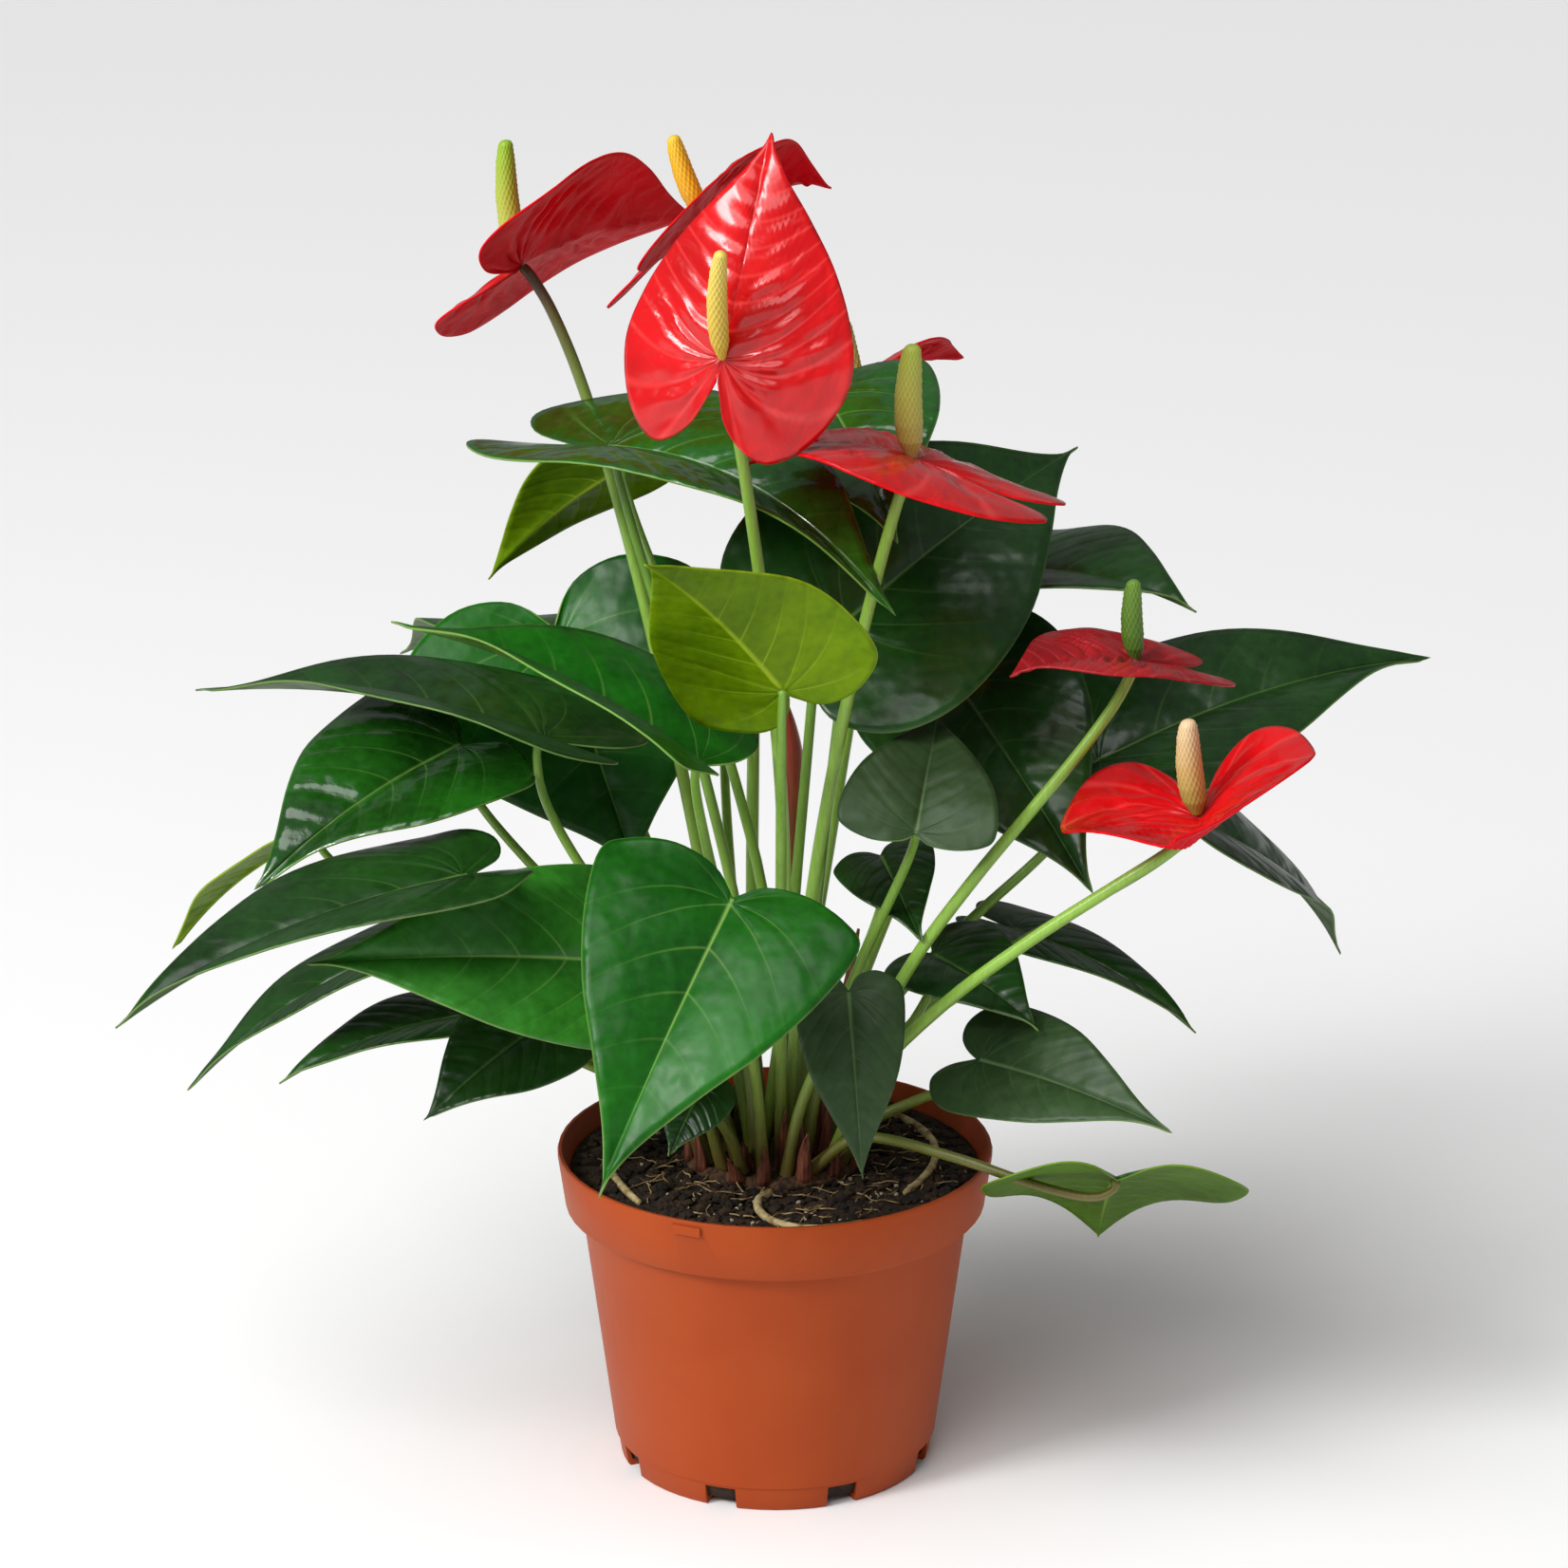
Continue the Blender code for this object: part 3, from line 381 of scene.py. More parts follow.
def through(stops, steps):
    """A smooth curve through the stops, steps points to each gap, without the last."""
    padded = np.vstack([2 * stops[0] - stops[1], stops, 2 * stops[-1] - stops[-2]])
    line = []
    for a, b, c, d in zip(padded, padded[1:], padded[2:], padded[3:]):
        for k in range(steps):
            t = k / steps
            line.append(
                0.5 * (2 * b + (c - a) * t + (2 * a - 5 * b + 4 * c - d) * t**2
                       + (3 * b - a - 3 * c + d) * t**3)
            )
    return line


def stations(node, most=99):
    """The middle and radius of each ring of points up a stalk, from its foot."""
    shape = node_shape(node)
    ring = {v for v in shape.verts if abs(v.co.z - STALK_FOOT) < 1e-4}
    size = len(ring)
    seen = set()
    found = []
    while ring and len(ring) == size and len(found) < most:
        spots = np.array([v.co[:] for v in ring])
        middle = spots.mean(axis=0)
        found.append((middle, np.linalg.norm(spots - middle, axis=1).mean()))
        seen |= ring
        ring = {e.other_vert(v) for v in ring for e in v.link_edges} - seen
    shape.free()
    return found


def smoothed(found, steps):
    """The stations with a smooth curve run through them, steps to each gap."""
    spots = np.array([np.append(s, r) for s, r in found])
    return [(row[:3], row[3]) for row in [*through(spots, steps), spots[-1]]]


def mapped(tree, value, start, end, low, high, curve="LINEAR"):
    """The value moved from the range start to end into the range low to high."""
    inputs = {"Value": value, "From Min": start, "From Max": end, "To Min": low, "To Max": high}
    return add(tree, "ShaderNodeMapRange", inputs, interpolation_type=curve).outputs["Result"]


def shaded(tree, colour, shade):
    """The colour made darker or lighter by a factor."""
    inputs = {0: colour, 1: shade}
    return add(tree, "ShaderNodeVectorMath", inputs, operation="MULTIPLY").outputs["Vector"]


def stalk_material(name, foot, middle, top, height, turn=0.25):
    """A smooth stalk that changes colour from its foot up, with fine lengthwise ribs.
    turn is the share of the height where it has its middle colour."""
    made, tree, shader = new_material(name)
    place = add(tree, "ShaderNodeTexCoord").outputs["Object"]
    level = add(tree, "ShaderNodeSeparateXYZ", {"Vector": place}).outputs["Z"]
    rise = mapped(tree, level, crown_high.z, height, 0.0, 1.0)
    tint = add(tree, "ShaderNodeValToRGB", {"Fac": rise})
    tint.color_ramp.elements[0].color = linear(foot)
    tint.color_ramp.elements[1].color = linear(top)
    tint.color_ramp.elements.new(turn).color = linear(middle)
    stretched = add(tree, "ShaderNodeMapping", {"Vector": place, "Scale": (1.0, 1.0, 0.06)})
    grain = {"Vector": stretched.outputs["Vector"], "Scale": 900.0, "Detail": 3.0}
    ribs = add(tree, "ShaderNodeTexNoise", grain)
    shade = mapped(tree, ribs.outputs["Fac"], 0.0, 1.0, 0.72, 1.2)
    colour = shaded(tree, tint.outputs["Color"], shade)
    relief = raised(tree, ribs.outputs["Fac"], 0.25, 0.0005)
    dress(tree, shader, colour, 0.36, relief)
    return made


green_stalk = stalk_material("green_petiole", "#6B5A2A", "#7FA63A", "#6E9A34", 0.36)
flower_stalk = stalk_material("flower_peduncle", "#6E7A30", "#8DB846", "#86A83C", 0.46)
browned_stalk = stalk_material("browned_peduncle", "#7E9A38", "#8DB846", "#4A3414", 0.435, 0.72)

STALK_ROUNDING = 1.05
KNEE_SHARE = 0.90
KNEE_SWELL = 0.35
FOOT_SWELL = 0.25
LEAF_STATIONS = 7
LEAVES = sorted(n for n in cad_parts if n.startswith("leaf_"))
FLOWERS = range(1, 8)

for leaf in LEAVES:
    line = smoothed(stations(leaf, LEAF_STATIONS), 6)
    last = len(line) - 1
    swollen = []
    for k, (spot, radius) in enumerate(line):
        into_knee = max(0.0, (k / last - KNEE_SHARE) / (1 - KNEE_SHARE))
        knee = math.sin(math.pi * min(1.0, into_knee))
        foot = max(0.0, 1.0 - 12 * k / last)
        swelling = 1.0 + KNEE_SWELL * knee + FOOT_SWELL * foot
        swollen.append((spot, STALK_ROUNDING * radius * swelling))
    piece = bar(leaf + "_stalk", [swollen], green_stalk, 2)
    seat(piece, leaf)
for number in FLOWERS:
    peduncle = "peduncle_%d" % number
    line = [(spot, STALK_ROUNDING * radius) for spot, radius in smoothed(stations(peduncle), 6)]
    piece = bar(peduncle + "_stalk", [line], browned_stalk if number == 1 else flower_stalk, 2)
    seat(piece, peduncle)


# ---- Leaf blades: leathery heart-shaped blades with a sunken pale midrib, side veins
# that leave it at about 60 degrees and arc forwards, and veins that fan into the two
# lobes. The skin is satin above and paler and duller below, with a thin pale margin.

# The CAD rim: how many points it has, which of them from the tip is the widest, and
# the range that its wall's thickness lies in
RIM_POINTS = 20
WIDEST = 6
THINNEST, THICKEST = 0.00075, 0.00095
FOLD_ROUNDING = 0.05


def upper_rim(node, below):
    """The rim of a blade's upper side, from the tip round its left, and the direction
    that side faces. below is any place on the other side of the blade."""
    shape = node_shape(node)
    walls = [e for e in shape.edges if THINNEST < e.calc_length() < THICKEST]
    first = walls[0].verts[1].co - walls[0].verts[0].co
    across = [e.verts[1].co - e.verts[0].co for e in walls]
    facing = sum((d if d.dot(first) > 0 else -d for d in across), Vector())
    facing.normalize()
    middle = sum((e.verts[0].co for e in walls), Vector()) / len(walls)
    if facing.dot(middle - Vector(below)) < 0:
        facing = -facing
    ends = [sorted(e.verts, key=lambda corner: corner.co.dot(facing)) for e in walls]
    under = {pair[0] for pair in ends}
    upper = {pair[1] for pair in ends}
    border = [
        e for e in shape.edges
        if set(e.verts) <= upper and any(under & set(f.verts) for f in e.link_faces)
    ]
    loop = [border[0].verts[0]]
    edge = border[0]
    while len(loop) < RIM_POINTS:
        loop.append(edge.other_vert(loop[-1]))
        edge = next(e for e in border if loop[-1] in e.verts and e is not edge)
    rim = np.array([v.co[:] for v in loop])
    shape.free()
    facing = np.array(facing)
    if np.sum(np.cross(rim, np.roll(rim, -1, axis=0)), axis=0) @ facing < 0:
        rim = rim[::-1]
    before = rim - np.roll(rim, 1, axis=0)
    after = np.roll(rim, -1, axis=0) - rim
    notch = int(np.argmin(np.cross(before, after) @ facing / np.linalg.norm(before, axis=1)))
    return np.roll(rim, -(notch + RIM_POINTS // 2), axis=0), facing


class Blade:
    """A blade measured on its CAD solid: its length, half width, arch and fold, with
    its outline in shares of the length (u) and of the half width (v)."""

    def __init__(self, node, below, widest, venation):
        self.slope, self.bend, self.gap, self.fan = venation
        rim, self.normal = upper_rim(node, below)
        tip, left, notch, right = rim[0], rim[WIDEST], rim[RIM_POINTS // 2], rim[-WIDEST]
        spine = tip - notch
        spine -= self.normal * (spine @ self.normal)
        self.along = spine / np.linalg.norm(spine)
        self.across = np.cross(self.normal, self.along)
        middle = (left + right) / 2
        self.length = (tip - middle) @ self.along / (1 - widest)
        self.stem = tip - self.along * self.length
        self.half = (left - right) @ self.across / 2
        arms = rim - self.stem
        self.rim = np.stack([arms @ self.along / self.length, arms @ self.across / self.half], axis=1)
        lift = arms @ self.normal
        self.folds = [lift[side] / abs(arms[side] @ self.across) for side in (WIDEST, -WIDEST)]
        u, v = self.rim[-3]
        self.arch = (lift[-3] - self.folds[1] * abs(v) * self.half) / (4 * u * (1 - u) * self.length)

    def outline(self, steps):
        """The rim with steps points to each gap, smooth but sharp at tip and notch."""
        points = []
        for first in (0, RIM_POINTS // 2):
            side = [self.rim[(first + k) % RIM_POINTS] for k in range(RIM_POINTS // 2 + 1)]
            points += through(np.array(side), steps)
        return np.array(points)

    def veins(self, u, v):
        """A number that is whole along each vein: side veins beyond the stem, and veins
        that fan out from the stem into the lobes, all bending towards the tip."""
        side = np.abs(v)
        bent = u - self.bend * side**2
        ahead = bent - self.slope * side
        turn = np.arctan2(side * self.half, bent * self.length)
        first = math.atan2(self.half, self.slope * self.length)
        return np.where(ahead >= 0, ahead / self.gap, -(turn - first) / self.fan)

    def lift(self, u, v):
        """The height of the upper side over the flat heart, in metres."""
        rise = np.where(u >= 0, 4 * self.arch * u * (1 - u), 4 * self.arch * u)
        fold = np.where(v >= 0, *self.folds)
        softened = np.sqrt(v**2 + FOLD_ROUNDING**2) - FOLD_ROUNDING
        return rise * self.length + fold * self.half * softened

    def point(self, u, v, lift):
        """The place in metres for shares of the length and half width, and a height."""
        flat = np.outer(u * self.length, self.along) + np.outer(v * self.half, self.across)
        return self.stem + flat + np.outer(lift, self.normal)


def blade_mesh(name, blade, number, rings, steps, shaping):
    """The upper side as a mesh of rings round the stem, with two UV maps: vein number
    and distance from the midrib in centimetres, and place along the blade and share of
    the way from stem to rim. shaping adds the living form to the flat fold."""
    outline = blade.outline(steps)
    around = len(outline)
    shares = np.linspace(0, 1, rings + 1)[1:] ** 0.9
    u = np.concatenate([[0.0], (shares[:, None] * outline[None, :, 0]).ravel()])
    v = np.concatenate([[0.0], (shares[:, None] * outline[None, :, 1]).ravel()])
    share = np.concatenate([[0.0], np.repeat(shares, around)])
    turn = np.concatenate([[0.0], np.tile(np.arange(around) / around, rings)])
    lift = blade.lift(u, v) + shaping(blade, number, u, v, share, turn)
    points = blade.point(u, v, lift)
    faces = []
    for k in range(around):
        n = (k + 1) % around
        faces.append((0, 1 + k, 1 + n))
        for ring in range(rings - 1):
            low = 1 + ring * around
            faces.append((low + k, low + around + k, low + around + n, low + n))
    mesh = bpy.data.meshes.new(name)
    mesh.from_pydata(points.tolist(), [], faces)
    veins = mesh.uv_layers.new(name="veins")
    spread = mesh.uv_layers.new(name="spread")
    vein_number = blade.veins(u, v)
    corners = np.array([loop.vertex_index for loop in mesh.loops])
    first = np.stack([vein_number[corners], np.abs(v[corners]) * blade.half * 100], axis=1)
    second = np.stack([u[corners], share[corners]], axis=1)
    veins.data.foreach_set("uv", first.ravel())
    spread.data.foreach_set("uv", second.ravel())
    return placed(name, mesh)


def thicken(piece, thickness, upper, under):
    """Gives the blade its body below the upper side, and its two finishes."""
    piece.data.materials.append(upper)
    piece.data.materials.append(under)
    wall = piece.modifiers.new("body", "SOLIDIFY")
    wall.thickness = thickness
    wall.offset = -1.0
    wall.material_offset = 1
    wall.material_offset_rim = 1
    apply_modifiers(piece)
    piece.data.shade_smooth()


def uv_parts(tree, name):
    """The two values of a UV map."""
    uv = add(tree, "ShaderNodeUVMap", uv_map=name).outputs["UV"]
    return add(tree, "ShaderNodeSeparateXYZ", {"Vector": uv}).outputs


def side_veins(tree, width):
    """A mask that is 1 on the side veins, and the distance to the nearest of them as a
    share of the space between two."""
    number = uv_parts(tree, "veins")["X"]
    gap = add(tree, "ShaderNodeMath", {0: number, 1: 0.5}, operation="PINGPONG").outputs["Value"]
    return mapped(tree, gap, 0.0, width, 1.0, 0.0, "SMOOTHSTEP"), gap


def midrib_line(tree, along):
    """A mask that is 1 on the midrib, which narrows towards the tip."""
    off_middle = uv_parts(tree, "veins")["Y"]
    half_width = mapped(tree, along, 0.0, 1.0, 0.13, 0.03)
    middle = mapped(tree, off_middle, 0.0, half_width, 1.0, 0.0, "SMOOTHSTEP")
    ahead = add(tree, "ShaderNodeMath", {0: along, 1: -0.02}, operation="GREATER_THAN")
    return multiplied(tree, middle, ahead.outputs["Value"])


def mixed(tree, factor, first, second):
    """The first colour with the second over it, where the factor is 1."""
    node = add(tree, "ShaderNodeMix", data_type="RGBA")
    for key, value in (("Factor_Float", factor), ("A_Color", first), ("B_Color", second)):
        socket = next(i for i in node.inputs if i.identifier == key)
        if isinstance(value, bpy.types.NodeSocket):
            tree.links.new(value, socket)
        else:
            socket.default_value = value
    return next(o for o in node.outputs if o.identifier == "Result_Color")


def multiplied(tree, first, second):
    """The product of two values."""
    return add(tree, "ShaderNodeMath", {0: first, 1: second}, operation="MULTIPLY").outputs["Value"]


def scaled_sum(tree, first, factor, second):
    """The first value times the factor, plus the second."""
    inputs = {0: first, 1: factor, 2: second}
    return add(tree, "ShaderNodeMath", inputs, operation="MULTIPLY_ADD").outputs["Value"]


def leaf_material(name, dark, light, vein, vein_strength, roughness, relief_depth, gloss=0.4):
    """A leaf skin: two greens in soft patches, paler veins that fade away from the
    stem, a thin pale margin, and the waves and cushions between the veins as relief."""
    made, tree, shader = new_material(name)
    place = add(tree, "ShaderNodeTexCoord").outputs["Object"]
    spread = uv_parts(tree, "spread")
    along, outward = spread["X"], spread["Y"]
    side, gap = side_veins(tree, 0.05)
    midrib = midrib_line(tree, along)
    soft = {"Vector": place, "Scale": 20.0, "Detail": 5.0, "Roughness": 0.6}
    patches = add(tree, "ShaderNodeTexNoise", soft).outputs["Fac"]
    fine = {"Vector": place, "Scale": 300.0, "Detail": 3.0}
    cells = add(tree, "ShaderNodeTexNoise", fine).outputs["Fac"]
    tint = two_tone(tree, scaled_sum(tree, cells, 0.3, patches), dark, light, 0.48, 0.84)
    near_stem = mapped(tree, outward, 0.0, 0.8, 1.0, 0.1)
    faint = multiplied(tree, multiplied(tree, side, near_stem), vein_strength)
    veined = mixed(tree, faint, tint, linear(vein))
    fading = mapped(tree, along, 0.0, 0.9, 0.9, 0.25)
    ribbed = mixed(tree, multiplied(tree, midrib, fading), veined, linear(vein))
    margin = mapped(tree, outward, 0.985, 1.0, 0.0, 0.4)
    edged = mixed(tree, margin, ribbed, linear(vein))
    cushion = mapped(tree, gap, 0.0, 0.35, 0.0, 1.0, "SMOOTHERSTEP")
    valley = scaled_sum(tree, midrib, -1.0, cushion)
    waves = add(tree, "ShaderNodeTexNoise", {"Vector": place, "Scale": 48.0, "Detail": 2.0})
    swell = raised(tree, waves.outputs["Fac"], 0.55, 0.006)
    relief = raised(tree, scaled_sum(tree, cells, 0.4, valley), 0.5, relief_depth, swell)
    dress(tree, shader, edged, roughness, relief)
    shader.inputs["Specular IOR Level"].default_value = gloss
    return made


# Each skin: its dark and light green, its vein colour and how strongly the veins show,
# its roughness, the depth of its relief and, where it isn't the usual, its gloss.
# Mature leaf: deep green, satin, its veins only a little paler
mature_top = leaf_material(
    "mature_leaf_skin", "#0D2A08", "#1D4B14", "#587C3A", 0.4, 0.33, 0.0005
)
mature_under = leaf_material(
    "mature_leaf_underside", "#2C4A1A", "#44652A", "#7C9A4E", 0.6, 0.5, 0.0005
)
# Younger leaf in full growth: fresh mid green with clear pale veins
green_top = leaf_material(
    "growing_leaf_skin", "#0B4208", "#186410", "#7CA850", 0.42, 0.38, 0.0004, 0.24
)
green_under = leaf_material(
    "growing_leaf_underside", "#355E18", "#557F26", "#93B755", 0.7, 0.5, 0.0005
)
# Newly opened leaf: thin, yellow-green and glossy
young_top = leaf_material(
    "young_leaf_skin", "#3E620A", "#5C8408", "#9CBE3C", 0.8, 0.34, 0.0005
)
young_under = leaf_material(
    "young_leaf_underside", "#4A6A00", "#6E8E02", "#A0B82A", 0.8, 0.4, 0.0005, 0.12
)
# Leaf that has just reached its size: bright green and as glossy as wax
glossy_top = leaf_material(
    "waxy_leaf_skin", "#123C0A", "#1F6414", "#6E9A48", 0.5, 0.2, 0.0008, 0.75
)
# Leaf that faces the light: its mid green made lighter as painted light, satin
painted_lit_top = leaf_material(
    "painted_sunlit_leaf_skin", "#226216", "#3A8A28", "#8CBA60", 0.45, 0.36, 0.0004, 0.3
)
# Small leaf that lives in the shade of the others: greyer green and nearly matt
dull_top = leaf_material(
    "shaded_leaf_skin", "#20361A", "#35502A", "#5E7A4C", 0.35, 0.46, 0.0003, 0.3
)
# Underside of a leaf that is past its first flush: olive
olive_under = leaf_material(
    "olive_leaf_underside", "#3A5A06", "#527C10", "#86A83A", 0.7, 0.5, 0.0005, 0.15
)

# Venation: how far forward a side vein runs, how it bends, the gap to the next one along
# the midrib, all in shares of the blade, and the angle between veins in the lobes
LEAF_VENATION = (0.20, 0.30, 0.16, math.radians(32))
LEAF_BODY = 0.0007
LEAF_RINGS = 14
LEAF_STEPS = 5
HALF_BULGE = 0.07
MIDRIB_DEPTH = 0.0006
MIDRIB_WIDTH = 0.05
LEAF_FINISHES = (
    (("leaf_03", "leaf_08", "leaf_26"), (young_top, young_under)),
    (("leaf_18",), (green_top, olive_under)),
    (("leaf_07", "leaf_24", "leaf_09"), (glossy_top, green_under)),
    # leaf_06 gets the lighter skin, whose extra lightness is painted light
    (("leaf_06",), (painted_lit_top, green_under)),
    (("leaf_04", "leaf_15", "leaf_17"), (dull_top, mature_under)),
    (("leaf_01", "leaf_02", "leaf_22"), (green_top, green_under)),
)


def swollen_halves(blade, v):
    """How far each half of a blade swells up between its midrib and its rim."""
    return HALF_BULGE * blade.half * 4 * np.abs(v) * np.clip(1 - np.abs(v), 0, 1)


def leaf_form(blade, number, u, v, share, turn):
    """Swollen halves, a sunken midrib and a gently waving margin."""
    channel = -MIDRIB_DEPTH * np.exp(-(v / MIDRIB_WIDTH) ** 2) * (u > 0)
    short_wave = np.sin(2 * math.pi * turn * 7 + number * 2.3) * 0.018
    long_wave = np.sin(2 * math.pi * turn * 4 + number) * 0.02
    margin = (short_wave + long_wave) * blade.half * share**3
    return swollen_halves(blade, v) + channel + margin


for number, leaf in enumerate(LEAVES):
    knee = stations(leaf, LEAF_STATIONS)[-2][0]
    blade = Blade(leaf, knee, 0.0, LEAF_VENATION)
    piece = blade_mesh(leaf + "_blade", blade, number, LEAF_RINGS, LEAF_STEPS, leaf_form)
    finishes = next(
        (both for members, both in LEAF_FINISHES if leaf in members), (mature_top, mature_under)
    )
    thicken(piece, LEAF_BODY, *finishes)
    seat(piece, leaf)


# ---- Flowers: each has a waxy heart-shaped bract (spathe), quilted between its veins
# and glossy as if lacquered, with a fleshy spike (spadix) set with hundreds of tiny
# flowers that stand in two crossing spirals.

def spathe_material(name, deep, bright, painted_highlight, roughness, coat):
    """A lacquered bract: two reds in soft patches, painted highlights as paler lines along the veins,
    puckered relief.
    """
    made, tree, shader = new_material(name)
    place = add(tree, "ShaderNodeTexCoord").outputs["Object"]
    # Painted highlight: the veins are drawn in a paler red, standing in for light on the quilting
    highlight_lines, _ = side_veins(tree, 0.12)
    patches = add(tree, "ShaderNodeTexNoise", {"Vector": place, "Scale": 30.0, "Detail": 3.0})
    tint = two_tone(tree, patches.outputs["Fac"], deep, bright, 0.35, 0.65)
    veined = mixed(tree, multiplied(tree, highlight_lines, 0.34), tint, linear(painted_highlight))
    crumpled = {"Vector": place, "Scale": 90.0, "Detail": 2.0, "Distortion": 0.6}
    puckers = add(tree, "ShaderNodeTexNoise", crumpled)
    relief = raised(tree, puckers.outputs["Fac"], 0.5, 0.0035)
    dress(tree, shader, veined, roughness, relief)
    shader.inputs["Specular IOR Level"].default_value = 0.12
    shader.inputs["Coat Weight"].default_value = coat
    shader.inputs["Coat Roughness"].default_value = 0.17
    return made


# Each bract: its two reds, the paler colour of its painted highlights along the veins, its roughness
# and how much lacquer it has
lacquer_red = spathe_material(
    "lacquered_red_bract", "#B40308", "#CE0C12", "#E84A48", 0.34, 0.7
)
crimson_under = spathe_material("bract_underside", "#C4000C", "#E00216", "#E8202A", 0.6, 0.0)
faded_red = spathe_material("ageing_bract", "#8E1216", "#B02026", "#C8484A", 0.45, 0.25)

SPATHE_BODY = 0.0008
SPATHE_WIDEST = -0.02
SPATHE_RINGS = 22
SPATHE_STEPS = 8
QUILT_DEPTH = 0.0012
SPATHE_VENATION = (0.10, 0.42, 0.12, math.radians(20))

AGEING_FLOWER = 6


def bract_form(blade, number, u, v, share, turn):
    """Swollen halves, uneven quilting between the veins and a rolling margin."""
    spots = [Vector((a * 3.2, b * 3.2, number * 7.0)) for a, b in zip(u, v)]
    stray = np.array([noise.noise(spot) for spot in spots])
    depth = np.array([noise.noise(spot * 1.7 + Vector((5, 5, 0))) for spot in spots])
    quilt = -QUILT_DEPTH * np.cos(2 * math.pi * (blade.veins(u, v) + 0.5 * stray))
    quilt *= np.clip(0.55 + 1.2 * depth, 0, 1.4) * np.sin(math.pi * np.clip(share, 0, 1)) ** 0.7
    wave = np.sin(2 * math.pi * turn * 5 + number * 1.9) * 0.03
    return swollen_halves(blade, v) + quilt + wave * blade.half * share**3


for number in FLOWERS:
    node = "spathe_%d" % number
    low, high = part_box("spadix_%d" % number)
    stalk_top = stations("peduncle_%d" % number)[-1][0]
    behind = 2 * stalk_top - np.array((low + high) / 2)
    blade = Blade(node, behind, SPATHE_WIDEST, SPATHE_VENATION)
    piece = blade_mesh(node + "_bract", blade, number, SPATHE_RINGS, SPATHE_STEPS, bract_form)
    finishes = (faded_red, faded_red) if number == AGEING_FLOWER else (lacquer_red, crimson_under)
    thicken(piece, SPATHE_BODY, *finishes)
    seat(piece, node)


SPECK_COLOUR = "#3A4A14"


def spadix_material(name, base, middle, tip, specks, low, high):
    """Tiny flowers in spirals: the colour runs from base to tip, with painted shade in the hollows
    between the florets and painted light on their crests, and the open flowers near the base carry
    dark specks."""
    made, tree, shader = new_material(name)
    place = add(tree, "ShaderNodeTexCoord").outputs["Object"]
    level = add(tree, "ShaderNodeSeparateXYZ", {"Vector": place}).outputs["Z"]
    tint = add(tree, "ShaderNodeValToRGB", {"Fac": mapped(tree, level, low, high, 0.0, 1.0)})
    tint.color_ramp.elements[0].color = linear(base)
    tint.color_ramp.elements[1].color = linear(tip)
    tint.color_ramp.elements.new(0.45).color = linear(middle)
    parts = uv_parts(tree, "florets")
    raised_part, level_part = parts["X"], parts["Y"]
    # Painted shade and light: darker in the hollows between the florets, a little lighter on their
    # crests
    shade = mapped(tree, raised_part, 0.0, 1.0, 0.62, 1.1)
    colour = shaded(tree, tint.outputs["Color"], shade)
    crest = mapped(tree, raised_part, 0.82, 0.95, 0.0, 1.0)
    still_open = mapped(tree, level_part, 0.35, 0.75, specks, 0.0)
    speck = multiplied(tree, crest, still_open)
    finished = mixed(tree, speck, colour, linear(SPECK_COLOUR))
    dress(tree, shader, finished, 0.5)
    return made


FLORET_GAP = 0.0019
FLORET_PROUD = 0.00045
SPADIX_SIDES = 56
SPADIX_RINGS = 90
# Each spike: its colour at the base, in the middle and at the tip, and how many specks
SPADIX_COLOURS = {
    1: ("#C4C26A", "#B4BE44", "#8CB41C", 0.95),
    2: ("#D8B23C", "#E8C850", "#EAD262", 0.0),
    3: ("#D8960E", "#EEB81E", "#F2C62C", 0.0),
    4: ("#D2C26A", "#CACA58", "#B4C648", 0.85),
    5: ("#A8A84E", "#B8B458", "#BCBC62", 0.4),
    6: ("#4E7A24", "#5E8A28", "#74A034", 0.2),
    7: ("#8E9E34", "#D2B46C", "#EBCBA0", 0.4),
}


